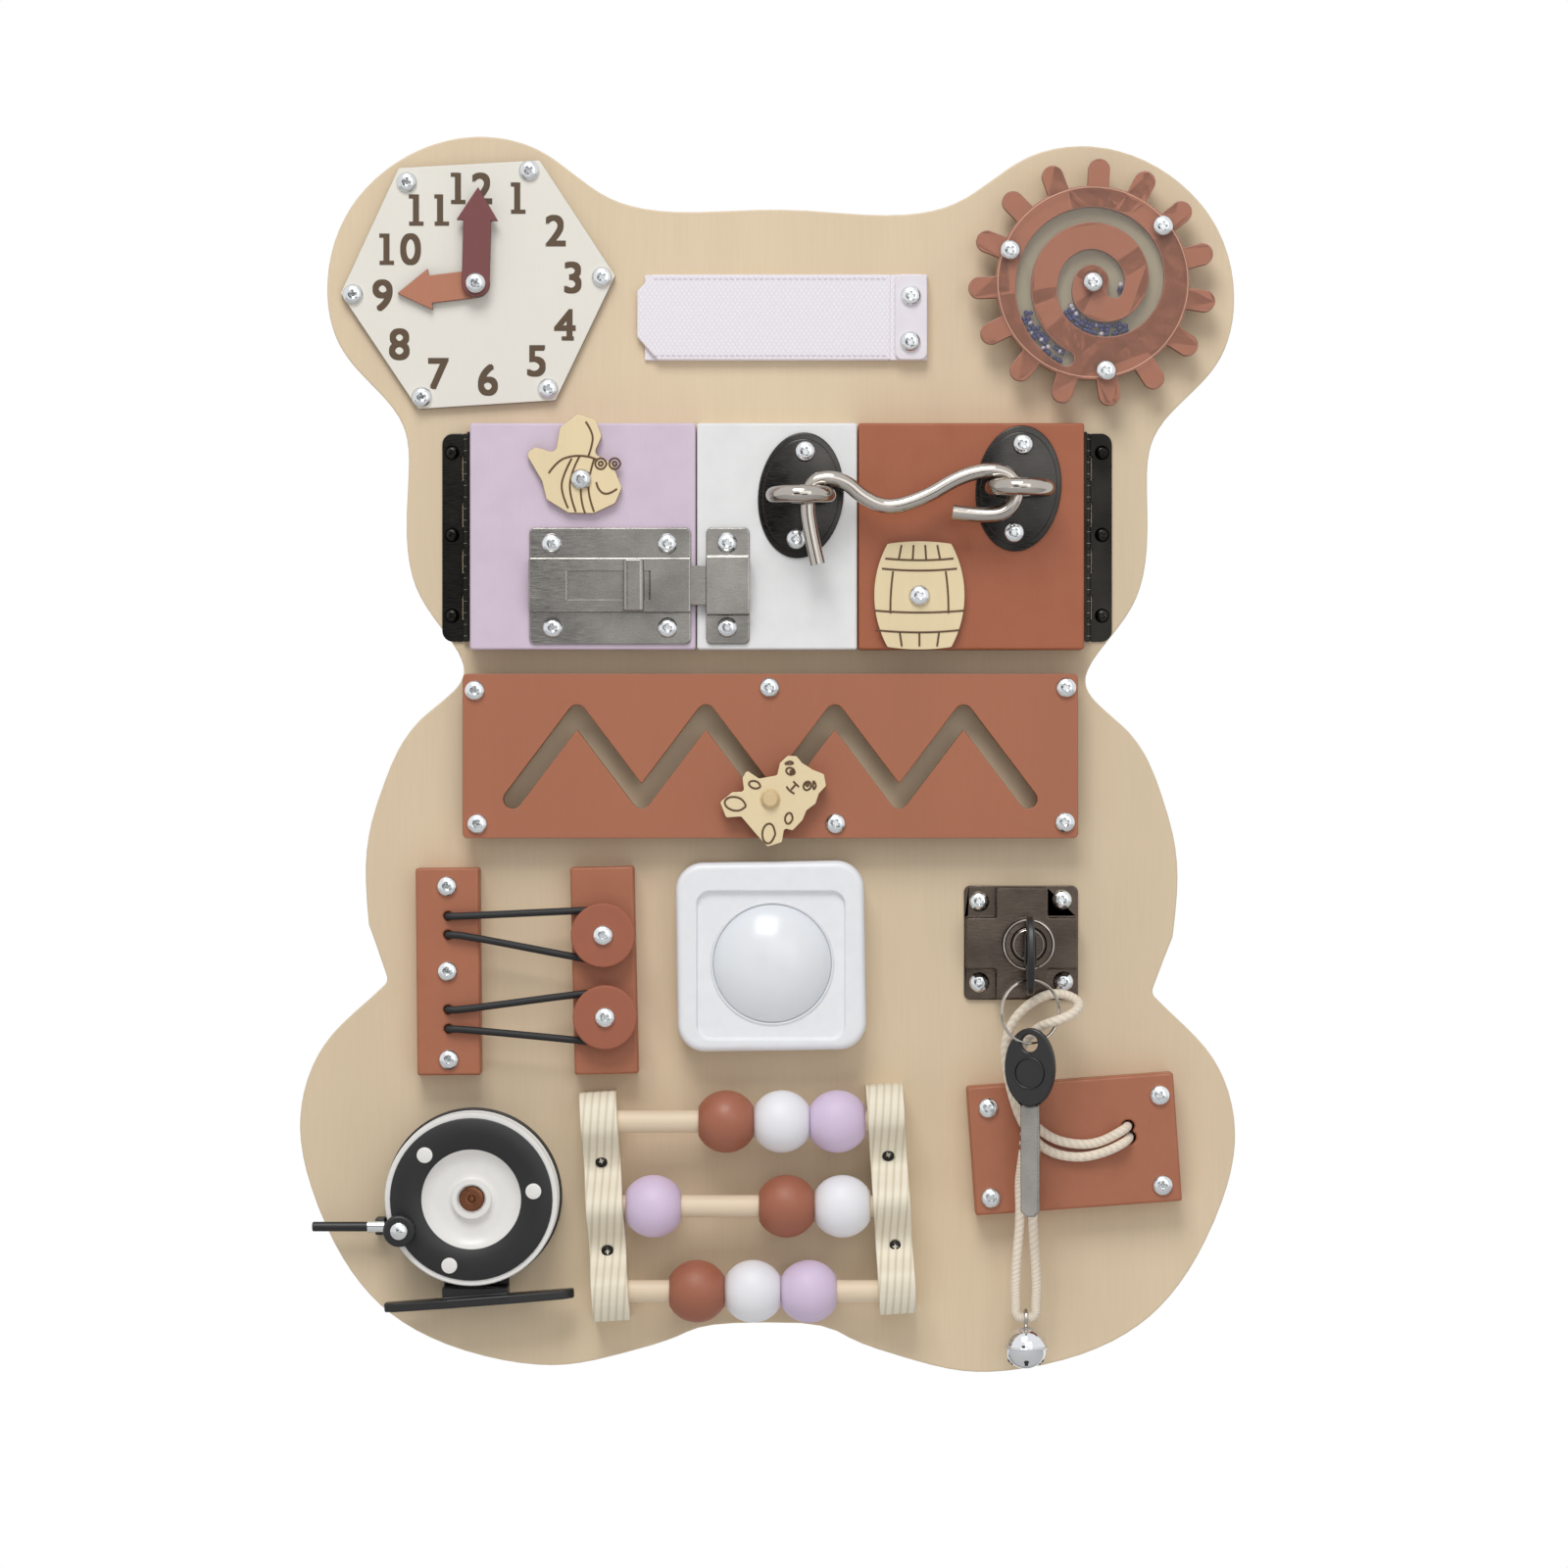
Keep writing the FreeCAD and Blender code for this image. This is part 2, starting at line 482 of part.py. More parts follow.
def make_strap():
    """The webbing base, the flap that peels off it and the metal plate that clamps both."""
    base_face = board_face + mm.strap_base_thick
    half = mm.strap_wide / 2
    clamp_start = mm.strap_end - mm.clamp_wide
    left = clamp_start - mm.flap_long
    base = Part.makeBox(mm.strap_end - left, mm.strap_base_thick, mm.strap_wide,
                        at(left, base_face, mm.strap_middle - half))
    fold = Part.makeBox(mm.clamp_wide, mm.flap_thick, mm.strap_wide,
                        at(clamp_start, base_face + mm.flap_thick, mm.strap_middle - half))
    shaped("strap_base", Part.makeCompound([base, fold]))
    start = clamp_start - mm.flap_slack
    end = start - mm.flap_long - 1.2
    outline = [(start, -half), (start, half), (end + 5.6, half), (end, half - 6.0), (end, -half + 8.4),
               (end + 7.4, -half)]
    plate("strap_flap", corners_rounded([(x, z + mm.strap_middle) for x, z in outline], 0.8), "flap_thick",
          "board_thick + strap_base_thick + turn_gap")
    block("strap_clamp", "clamp_wide", "strap_wide", "clamp_thick", "board_thick + strap_base_thick + flap_thick",
          mm.strap_end - mm.clamp_wide / 2, mm.strap_middle, corner="clamp_thick * 1.8")


def tooth_ring():
    """The maze wheel's outline: round-ended teeth standing on a round root."""
    half = mm.tooth_wide / 2
    root = math.sqrt(mm.maze_root_radius ** 2 - half ** 2)
    centre = mm.maze_tip_radius - half
    pitch = 360 / mm.tooth_count
    curves = []
    for number in range(int(mm.tooth_count)):
        turn = math.radians(mm.tooth_start + number * pitch)

        def spot(along, across, turn=turn):
            return FreeCAD.Vector(along * math.cos(turn) - across * math.sin(turn),
                                  along * math.sin(turn) + across * math.cos(turn), 0)

        curves += [Part.LineSegment(spot(root, -half), spot(centre, -half)),
                   Part.Arc(spot(centre, -half), spot(mm.maze_tip_radius, 0), spot(centre, half)),
                   Part.LineSegment(spot(centre, half), spot(root, half))]
        middle = turn + math.radians(pitch / 2)
        following = turn + math.radians(pitch)
        curves.append(Part.Arc(
            spot(root, half),
            FreeCAD.Vector(mm.maze_root_radius * math.cos(middle), mm.maze_root_radius * math.sin(middle), 0),
            FreeCAD.Vector(root * math.cos(following) + half * math.sin(following),
                           root * math.sin(following) - half * math.cos(following), 0)))
    return curves


def spiral_radius(turn):
    """The channel's middle line at a turn, between the table's places."""
    for (first, inner), (last, outer) in zip(SPIRAL, SPIRAL[1:]):
        if turn <= last:
            return inner + (outer - inner) * (turn - first) / (last - first)
    return SPIRAL[-1][1]


def spiral_outline():
    """The maze's channel: two spirals a channel's width apart, closed by round ends."""
    sides = []
    for offset in (-mm.channel_wide / 2, mm.channel_wide / 2):
        sides.append([FreeCAD.Vector((radius + offset) * math.cos(math.radians(turn)),
                                     (radius + offset) * math.sin(math.radians(turn)), 0)
                      for turn, radius in SPIRAL])
    curves = []
    for places in sides:
        curve = Part.BSplineCurve()
        curve.interpolate(places)
        curves.append(curve)
    for index, sign in ((0, -1), (-1, 1)):
        inner, outer = sides[0][index], sides[1][index]
        radial = (outer - inner).normalize()
        forward = FreeCAD.Vector(-radial.y, radial.x, 0) * sign
        curves.append(Part.Arc(inner, (inner + outer) * 0.5 + forward * mm.channel_wide / 2, outer))
    return curves


def make_maze():
    """The maze wheel: floor, toothed channel layer with its spiral, clear window, seeds and screws."""
    floor_out = "board_thick + maze_lift + turn_gap"
    centre = [(0, 0, screw_hole)]
    plate("maze_floor", [circle(0, 0, mm.maze_root_radius)], "maze_floor_thick", floor_out, centre,
          mm.maze_x, mm.maze_z)
    plate("maze_channel", tooth_ring() + spiral_outline(), "maze_channel_thick",
          floor_out + " + maze_floor_thick", centre, mm.maze_x, mm.maze_z)
    plate("maze_window", tooth_ring(), "maze_window_thick",
          floor_out + " + maze_floor_thick + maze_channel_thick", centre, mm.maze_x, mm.maze_z)
    floor_face = board_face + mm.maze_lift + mm.turn_gap + mm.maze_floor_thick
    seeds = []
    for start, stop, count in SEED_PILES:
        for number in range(count):
            place_on = start + (stop - start) * number / max(count - 1, 1)
            turn = math.radians(place_on)
            radius = spiral_radius(place_on) + mm.channel_wide / 2 - mm.seed_radius - 0.4
            seeds.append(prism(6, mm.seed_radius, mm.maze_x + radius * math.cos(turn),
                               mm.maze_z + radius * math.sin(turn), floor_face + 0.2,
                               floor_face + 0.2 + 2 * mm.seed_radius))
    shaped("maze_seeds", Part.makeCompound(seeds))
    window_face = floor_face + mm.maze_channel_thick + mm.maze_window_thick
    screws("maze_screws", [(x, z, window_face, mm.maze_channel_thick) for x, z in MAZE_SCREWS])


def hinge_side(label, side, moving, seat):
    """The knuckles of one leaf: every other one of the hinge's row, and the leaf that carries them."""
    step = mm.leaf_tall / mm.knuckle_count
    low = mm.door_middle - mm.leaf_tall / 2
    pin_x, pin_out = seat
    parts = []
    for number in range(int(mm.knuckle_count)):
        if number % 2 == (0 if moving else 1):
            continue
        start = low + number * step + mm.knuckle_gap / 2
        length = step - mm.knuckle_gap
        ring = Part.makeCylinder(mm.knuckle_radius, length, at(pin_x, pin_out, start))
        if moving:
            inner = pin_x + side * (mm.knuckle_radius - mm.leaf_thick + 0.4)
            arm = Part.makeBox(mm.leaf_thick, door_face - 1.0 - pin_out, length,
                               at(min(inner, inner + side * mm.leaf_thick), door_face - 1.0, start))
        else:
            arm = Part.makeBox(mm.knuckle_radius + 0.6, mm.leaf_thick, length,
                               at(min(pin_x, pin_x - side * (mm.knuckle_radius + 0.6)),
                                  board_face + mm.leaf_thick, start))
        parts.append(ring.fuse(arm))
    if moving:
        inner = pin_x + side * (mm.knuckle_radius - mm.leaf_thick + 0.4)
        leaf = Part.makeBox(mm.leaf_thick, mm.door_thick - 5.0, mm.leaf_tall,
                            at(min(inner, inner + side * mm.leaf_thick), door_face - 1.0, low))
    else:
        start = pin_x - side * (mm.knuckle_radius + 0.4)
        leaf = Part.makeBox(mm.leaf_wide, mm.leaf_thick, mm.leaf_tall,
                            at(min(start, start - side * mm.leaf_wide), board_face + mm.leaf_thick, low))
        far = start - side * mm.leaf_wide
        outer = [edge for edge in leaf.Edges if abs(edge.Vertexes[0].X - far) < 0.001
                 and abs(edge.Vertexes[1].X - far) < 0.001 and edge.Length < mm.leaf_thick + 0.001]
        leaf = leaf.makeFillet(mm.leaf_wide * 0.55, outer)
    bore = Part.makeCylinder(mm.pin_radius + (mm.pivot_gap if moving else 0), mm.leaf_tall,
                             at(pin_x, pin_out, low))
    return leaf.fuse(parts).cut(bore).removeSplitter()


def make_doors():
    """The two hinged doors and the fixed block between them."""
    back = "board_thick + door_lift"
    centre = mm.block_middle
    reach = mm.block_wide / 2 + mm.door_gap + mm.door_wide / 2
    block("centre_block", "block_wide", "door_tall", "door_lift + door_thick", "board_thick", centre,
          mm.door_middle, edge="block_edge")
    board_leaves = []
    pin_out = board_face + mm.knuckle_radius + 0.15
    for label, side in (("lilac_door", 1), ("brown_door", -1)):
        block(label, "door_wide", "door_tall", "door_thick", back, centre - side * reach, mm.door_middle,
              edge="block_edge")
        door_side = centre - side * (reach + mm.door_wide / 2)
        pin_x = door_side - side * (mm.knuckle_radius + 0.4)
        shaped(label + "_leaf", hinge_side(label, side, True, (pin_x, pin_out)))
        board_leaves.append(hinge_side(label, side, False, (pin_x, pin_out)))
        pin = Part.makeCylinder(mm.pin_radius, mm.leaf_tall, at(pin_x, pin_out, mm.door_middle - mm.leaf_tall / 2))
        board_leaves.append(pin)
        print("%s turns about x %.2f, out %.2f" % (label, pin_x, pin_out))
    shaped("board_hinge_leaves", Part.makeCompound(board_leaves))


def make_hat(label, long, plate_tall, channel, high, out, x, z):
    """A pressed plate with a raised channel across it, its corners rounded."""
    body = doc.addObject("PartDesign::Body", label)
    flange, half, metal = plate_tall / 2, channel / 2, mm.plate_metal
    points = [(0, -flange), (-metal, -flange), (-metal, -half), (-high, -half), (-high, half), (-metal, half),
              (-metal, flange), (0, flange), (0, half - metal), (metal - high, half - metal),
              (metal - high, metal - half), (0, metal - half)]
    places = [FreeCAD.Vector(y, up, 0) for y, up in points]
    lines = [Part.LineSegment(a, b) for a, b in zip(places, places[1:] + places[:1])]
    sketch = sketch_on(body, label + "_section", "YZ_Plane", lines)
    pad = body.newObject("PartDesign::Pad", label + "_pad")
    pad.Profile = sketch
    pad.setExpression("Length", formula(long))
    pad.Midplane = True
    doc.recompute()

    def flange_corner(edge):
        return runs_out(edge) and abs(abs(edge.Vertexes[0].Z) - flange) < 0.001

    rounded(body, pad, label + "_corners", "plate_metal * 1.8", flange_corner)
    place(body, x, out, z)
    return keep(label, body)


def make_bolt():
    """The barrel bolt's case, the bar that slides in it with its knob, and the keeper."""
    case = make_hat("bolt_case", "bolt_plate_wide", mm.bolt_plate_tall, mm.channel_tall, mm.channel_high,
                    DOOR_FACE, mm.bolt_x, mm.bolt_z)
    opening = rectangle(case, "bolt_window", "window_long", "window_tall", mm.window_x - mm.bolt_x, 0)
    pocket(case, "bolt_window_cut", opening, "channel_high")
    make_hat("bolt_keeper", "keeper_wide", mm.bolt_plate_tall, mm.keeper_channel, mm.keeper_high, DOOR_FACE,
             mm.keeper_x, mm.bolt_z)
    back = door_face + 0.4
    bar_face = back + mm.bolt_bar_thick
    bar = Part.makeBox(mm.bolt_bar_long, mm.bolt_bar_thick, mm.bolt_bar_tall,
                       at(mm.bolt_bar_tip - mm.bolt_bar_long, bar_face, mm.bolt_z - mm.bolt_bar_tall / 2))
    knob_x = mm.window_x + mm.window_long / 2 - mm.knob_wide / 2 - 1.7
    knob_back = door_face + mm.channel_high + 0.4
    neck = Part.makeBox(mm.bolt_neck, knob_back - bar_face + 0.5, mm.bolt_neck,
                        at(knob_x - mm.bolt_neck / 2, knob_back + 0.25, mm.bolt_z - mm.bolt_neck / 2))
    knob = Part.makeBox(mm.knob_wide, mm.knob_high, mm.knob_tall,
                        at(knob_x - mm.knob_wide / 2, knob_back + mm.knob_high, mm.bolt_z - mm.knob_tall / 2))
    front = [edge for edge in knob.Edges if abs(edge.CenterOfMass.y + knob_back + mm.knob_high) < 0.001
             and edge.Length > mm.knob_wide]
    knob = knob.makeFillet(1.6, front)
    shaped("bolt_bar", bar.fuse([neck, knob]).removeSplitter())


def eye(label, x, z, screws_at):
    """An oval plate with a round eye standing out of it, its ends sunk in the plate."""
    middle = (screws_at[0][1] + screws_at[1][1]) / 2
    sideways = (screws_at[0][0] + screws_at[1][0]) / 2
    tilt = math.degrees(math.atan2(screws_at[0][0] - screws_at[1][0], screws_at[0][1] - screws_at[1][1]))
    back = door_face
    oval = solid_of([ellipse(0, 0, mm.eye_plate_wide, mm.eye_plate_tall)], back, mm.eye_plate_thick)
    oval.rotate(FreeCAD.Vector(), FreeCAD.Vector(0, 1, 0), tilt)
    oval.translate(FreeCAD.Vector(sideways, 0, middle))
    centre = back + mm.eye_reach
    bend = Part.makeTorus(mm.eye_radius, mm.eye_wire, at(x, centre, z), FreeCAD.Vector(0, 0, 1), -180, 180, 180)
    bend.rotate(at(x, centre, z), FreeCAD.Vector(0, 0, 1), 180)
    legs = [Part.makeCylinder(mm.eye_wire, mm.eye_reach - 0.4, at(x + side * mm.eye_radius, centre, z),
                              FreeCAD.Vector(0, 1, 0)) for side in (-1, 1)]
    return shaped(label, oval.fuse([bend] + legs).removeSplitter())


def make_hook():
    """The two eyes and the hook that hangs in the right one and rests on the left one."""
    eye("left_eye", mm.left_eye_x, mm.left_eye_z, LEFT_EYE_SCREWS)
    eye("right_eye", mm.right_eye_x, mm.right_eye_z, RIGHT_EYE_SCREWS)
    out = door_face + mm.eye_reach
    shaped("cabin_hook", tube("cabin_hook", [at(x, out, z) for x, z in HOOK_ROUTE], mm.hook_radius))


def charm(label, outline, pivot):
    """A wooden figure that turns on one screw through its face."""
    plate(label, outline, "charm_thick", DOOR_FACE + " + turn_gap", [(0, 0, screw_hole)], pivot[0], pivot[1])


def make_charms():
    """The bee and the barrel, which turn on the doors."""
    bee = [(14.6, -3.0), (12.2, -8.6), (4.5, -12.2), (-4.6, -12.0), (-12.4, -7.2), (-14.0, -0.6),
           (-19.8, 9.2), (-16.4, 11.6), (-9.2, 9.4), (-7.6, 18.6), (-1.4, 23.4), (5.2, 21.4), (7.4, 15.4),
           (4.6, 9.2), (11.0, 5.8)]
    charm("bee", corners_rounded(bee, 1.9), (mm.bee_x, mm.bee_z))
    half, wide, end = mm.barrel_tall / 2, mm.barrel_wide / 2, mm.barrel_end / 2
    corners = [FreeCAD.Vector(x, z, 0) for x, z in ((-end, -half), (end, -half), (end, half), (-end, half))]
    sides = [Part.Arc(corners[1], FreeCAD.Vector(wide, 0, 0), corners[2]),
             Part.Arc(corners[3], FreeCAD.Vector(-wide, 0, 0), corners[0])]
    ends = [Part.Arc(corners[0], FreeCAD.Vector(0, -half - 0.9, 0), corners[1]),
            Part.Arc(corners[2], FreeCAD.Vector(0, half + 0.9, 0), corners[3])]
    charm("barrel", sides + ends, (mm.barrel_x, mm.barrel_z))


def make_zigzag():
    """The zigzag panel on its spacers, the peg that slides in its slot and the bear on the peg."""
    def leg(start, stop):
        """One straight leg of the slot with round ends."""
        along = FreeCAD.Vector(stop[0] - start[0], stop[1] - start[1], 0).normalize()
        across = FreeCAD.Vector(-along.y, along.x, 0) * (mm.slot_wide / 2)
        tip = along * (mm.slot_wide / 2)
        first, last = FreeCAD.Vector(start[0], start[1], 0), FreeCAD.Vector(stop[0], stop[1], 0)
        return [Part.LineSegment(first + across, last + across),
                Part.Arc(last + across, last + tip, last - across),
                Part.LineSegment(last - across, first - across),
                Part.Arc(first - across, first - tip, first + across)]

    count = 9
    line = []
    for number in range(count):
        x = mm.slot_middle_x + (number - count // 2) * mm.slot_pitch / 2
        up = 1 if number % 2 else -1
        line.append((x, mm.slot_middle + up * mm.slot_rise / 2))
    panel = block("zigzag_blank", "panel_wide", "panel_tall", "panel_thick", "board_thick + panel_lift",
                  mm.panel_x, mm.panel_z, corner="panel_corner", node=False)
    legs = [solid_of(leg(a, b), panel_back - 1, mm.panel_thick + 2) for a, b in zip(line, line[1:])]
    shaped("zigzag_panel", panel.Shape.cut(legs[0].fuse(legs[1:])).removeSplitter())
    spacers = [Part.makeCylinder(mm.spacer_radius, mm.panel_lift, at(x, board_face, z), at(0, 1, 0))
               for x, z in PANEL_SCREWS]
    spacers.append(Part.makeCylinder(mm.spacer_radius * 1.8, mm.maze_lift, at(mm.maze_x, board_face, mm.maze_z),
                                     at(0, 1, 0)))
    shaped("spacers", Part.makeCompound(spacers))
    x, z = line[count // 2]
    peg_radius = mm.slot_wide / 2 - mm.slot_gap
    foot_back = panel_back - mm.slot_gap - mm.foot_thick
    peg_face = panel_face + mm.bear_lift - mm.turn_gap
    foot = Part.makeCylinder(mm.foot_radius, mm.foot_thick, at(x, foot_back, z), at(0, 1, 0))
    shaft = Part.makeCylinder(peg_radius, peg_face - foot_back, at(x, foot_back, z), at(0, 1, 0))
    bear_face = panel_face + mm.bear_lift + mm.bear_thick
    pin = Part.makeCylinder(mm.shank_radius, bear_face + mm.turn_gap - peg_face + 0.2, at(x, peg_face - 0.1, z),
                            at(0, 1, 0))
    cap = prism(10, mm.head_radius, x, z, bear_face + mm.turn_gap, bear_face + mm.turn_gap + mm.head_high,
                mm.head_top_radius)
    shaped("slider_peg", foot.fuse([shaft, pin, cap]).removeSplitter())
    bear = [(-4.0, 7.4), (2.4, 8.6), (3.4, 13.0), (6.2, 15.6), (9.4, 15.4), (11.4, 13.0), (15.2, 10.6),
            (19.2, 9.0), (20.0, 4.8), (17.4, 2.0), (16.2, -1.6), (13.0, -4.0), (11.6, -7.4), (8.0, -11.2),
            (5.0, -10.4), (4.2, -15.4), (-1.0, -17.0), (-4.8, -12.8), (-10.4, -6.2), (-15.8, -6.6),
            (-18.0, -1.0), (-13.6, 2.6), (-9.4, 2.8), (-10.0, 7.6), (-8.4, 10.4)]
    plate("bear", corners_rounded(bear, 1.0), "bear_thick",
          "board_thick + panel_lift + panel_thick + bear_lift", [(0, 0, screw_hole)], x, z)
    print("the slider's leg runs from %.2f, %.2f to %.2f, %.2f" % (x, z, *line[count // 2 + 1]))


def make_painted_blocks():
    """The three painted blocks: the bands' anchor, the knobs' block and the cords' block."""
    sizes = (("band_block", "band_block_wide", "band_block_tall", mm.band_block_x, mm.band_block_z, -0.5),
             ("knob_block", "band_block_wide", "band_block_tall", mm.knob_block_x, mm.band_block_z + 0.4, -1.3),
             ("cord_block", "cord_block_wide", "cord_block_tall", mm.cord_block_x, mm.cord_block_z,
              mm.cord_block_tilt))
    solids = []
    for label, wide, tall, x, z, turn in sizes:
        body = block(label, wide, tall, "painted_thick", "board_thick", x, z, turn, edge="painted_edge",
                     node=False)
        solids.append(body.Shape.copy())
    for x, z in BAND_HOLES:
        solids[0] = solids[0].cut(Part.makeCylinder(mm.band_hole_radius, mm.painted_thick,
                                                    at(x, painted_face, z), at(0, -1, 0)))
    for route in (KEY_CORD[0], KEY_CORD[-1]):
        solids[2] = solids[2].cut(Part.makeCylinder(mm.cord_hole_radius, mm.painted_thick + 1,
                                                    at(route[0], painted_face + 1, route[2]), at(0, -1, 0)))
    shaped("painted_blocks", Part.makeCompound(solids))


def make_band_game():
    """The two knobs on the right block and the elastic bands stretched round them."""
    knobs, bands = [], []
    neck_out = painted_face + mm.band_neck_high / 2
    for number, (x, z) in enumerate(BAND_KNOBS):
        neck = Part.makeCylinder(mm.band_neck_radius, mm.band_neck_high + 0.5, at(x, painted_face, z), at(0, 1, 0))
        cap = Part.makeCylinder(mm.band_knob_radius, mm.band_knob_cap,
                                at(x, painted_face + mm.band_neck_high, z), at(0, 1, 0))
        knobs.append(neck.fuse(cap).removeSplitter())
        reach = mm.band_neck_radius + mm.band_radius + 0.1
        upper, lower = BAND_HOLES[2 * number], BAND_HOLES[2 * number + 1]
        deep, bend = painted_face - 5.0, neck_out + 0.4
        route = [(upper[0], deep, upper[1]), (upper[0], bend, upper[1]), (x - 4.0, neck_out, z + reach * 1.02),
                 (x + reach * 0.62, neck_out, z + reach * 1.04), (x + reach * 1.12, neck_out, z + reach * 0.30),
                 (x + reach * 1.02, neck_out, z - reach * 0.62), (x + reach * 0.2, neck_out, z - reach * 1.12),
                 (x - 6.0, neck_out, z - reach * 1.0), (lower[0], bend, lower[1]), (lower[0], deep, lower[1])]
        bands.append(tube("elastic band", [at(*point) for point in route], mm.band_radius))
    shaped("band_knobs", Part.makeCompound(knobs))
    shaped("elastic_bands", Part.makeCompound(bands))


def make_light():
    """The push light's housing and the dome that presses into it."""
    housing = block("light_blank", "light_wide", "light_wide", "light_high", "board_thick", mm.light_x,
                    mm.light_z, -0.9, corner="light_corner", edge="light_edge", node=False)
    face = board_face + mm.light_high
    recess = Part.makeBox(mm.light_recess_wide, mm.light_recess + 1, mm.light_recess_wide,
                          at(mm.light_x - mm.light_recess_wide / 2, face + 1,
                             mm.recess_z - mm.light_recess_wide / 2))
    recess = recess.makeFillet(5.0, [edge for edge in recess.Edges if runs_out(edge)])
    well_radius = mm.dome_radius + mm.dome_gap
    well_back = face - mm.light_recess - mm.dome_skirt - mm.light_press
    well = Part.makeCylinder(well_radius, face + 1 - well_back, at(mm.dome_x, well_back, mm.dome_z), at(0, 1, 0))
    shaped("light_housing", housing.Shape.cut([recess, well]))
    back = well_back + mm.light_press + 0.3
    top = back + mm.dome_skirt
    radius = (mm.dome_radius ** 2 + mm.dome_rise ** 2) / (2 * mm.dome_rise)
    places = [FreeCAD.Vector(0, 0, 0), FreeCAD.Vector(mm.dome_radius, 0, 0),
              FreeCAD.Vector(mm.dome_radius, top - back, 0), FreeCAD.Vector(0, top - back + mm.dome_rise, 0)]
    part_way = math.asin(mm.dome_radius / radius) / 2
    over = FreeCAD.Vector(radius * math.sin(part_way), top - back + mm.dome_rise - radius * (1 - math.cos(part_way)), 0)
    body = doc.addObject("PartDesign::Body", "light_dome")
    profile = [Part.LineSegment(places[0], places[1]), Part.LineSegment(places[1], places[2]),
               Part.Arc(places[2], over, places[3]), Part.LineSegment(places[3], places[0])]
    sketch = sketch_on(body, "dome_section", "XY_Plane", profile)
    turned = body.newObject("PartDesign::Revolution", "dome_turned")
    turned.Profile = sketch
    turned.ReferenceAxis = (sketch, ["V_Axis"])
    turned.Angle = 360
    body.Placement = FreeCAD.Placement(at(mm.dome_x, back, mm.dome_z),
                                       FreeCAD.Rotation(FreeCAD.Vector(1, 0, 0), 180))
    keep("light_dome", body)


def make_lock():
    """The drawer lock's case with its corner lugs, and the plug that the key turns."""
    body = block("lock_plate", "lock_wide", "lock_wide", "lock_plate_thick", "board_thick", mm.lock_x,
                 mm.lock_z, corner="lock_plate_thick * 1.5", node=False)
    half, inner = mm.lock_wide / 2 - 0.6, mm.lock_wide / 2 - mm.lock_notch
    cross = [(-inner, -half), (inner, -half), (inner, -inner), (half, -inner), (half, inner), (inner, inner),
             (inner, half), (-inner, half), (-inner, inner), (-half, inner), (-half, -inner), (-inner, -inner)]
    raised = solid_of(corners_rounded([(mm.lock_x + x, mm.lock_z + z) for x, z in cross], 0.8),
                      board_face + mm.lock_plate_thick - 0.2, mm.lock_body_high - mm.lock_plate_thick + 0.2)
    face = board_face + mm.lock_body_high
    barrel_face = face + mm.lock_barrel_long
    barrel = Part.makeCylinder(mm.lock_barrel_radius, mm.lock_barrel_long + 0.5,
                               at(mm.lock_barrel_x, face - 0.5, mm.lock_barrel_z), at(0, 1, 0))
    lip = [edge for edge in barrel.Edges if abs(edge.CenterOfMass.y + barrel_face) < 0.001 and edge.Length > 20]
    barrel = barrel.makeFillet(1.0, lip)
    bore = Part.makeCylinder(mm.plug_radius + mm.plug_gap, mm.plug_deep + 1.3,
                             at(mm.lock_barrel_x, barrel_face - mm.plug_deep - 0.3, mm.lock_barrel_z), at(0, 1, 0))
    shaped("lock_case", body.Shape.fuse([raised, barrel]).cut(bore).removeSplitter())
    plug = Part.makeCylinder(mm.plug_radius, mm.plug_deep + 0.5,
                             at(mm.lock_barrel_x, barrel_face - mm.plug_deep, mm.lock_barrel_z), at(0, 1, 0))
    keyway = Part.makeBox(mm.blade_thick + 0.2, mm.plug_deep, mm.blade_wide + 0.2,
                          at(mm.lock_barrel_x - mm.blade_thick / 2 - 0.1, barrel_face + 1,
                             mm.lock_barrel_z - mm.blade_wide / 2 - 0.1))
    shaped("lock_plug", plug.cut(keyway))
    return barrel_face


def bow_solid():
    """A key's oval grip lying flat in the XZ plane about the origin, pierced near its top."""
    oval = Part.Ellipse(FreeCAD.Vector(0, mm.bow_long / 2, 0), FreeCAD.Vector(-mm.bow_wide / 2, 0, 0),
                        FreeCAD.Vector())
    grip = solid_of([oval], -mm.bow_thick / 2, mm.bow_thick)
    hole = Part.makeCylinder(mm.bow_hole_radius, mm.bow_thick * 2,
                             at(0, mm.bow_thick, mm.bow_long / 2 - mm.bow_hole_in), at(0, -1, 0))
    return grip.cut(hole)


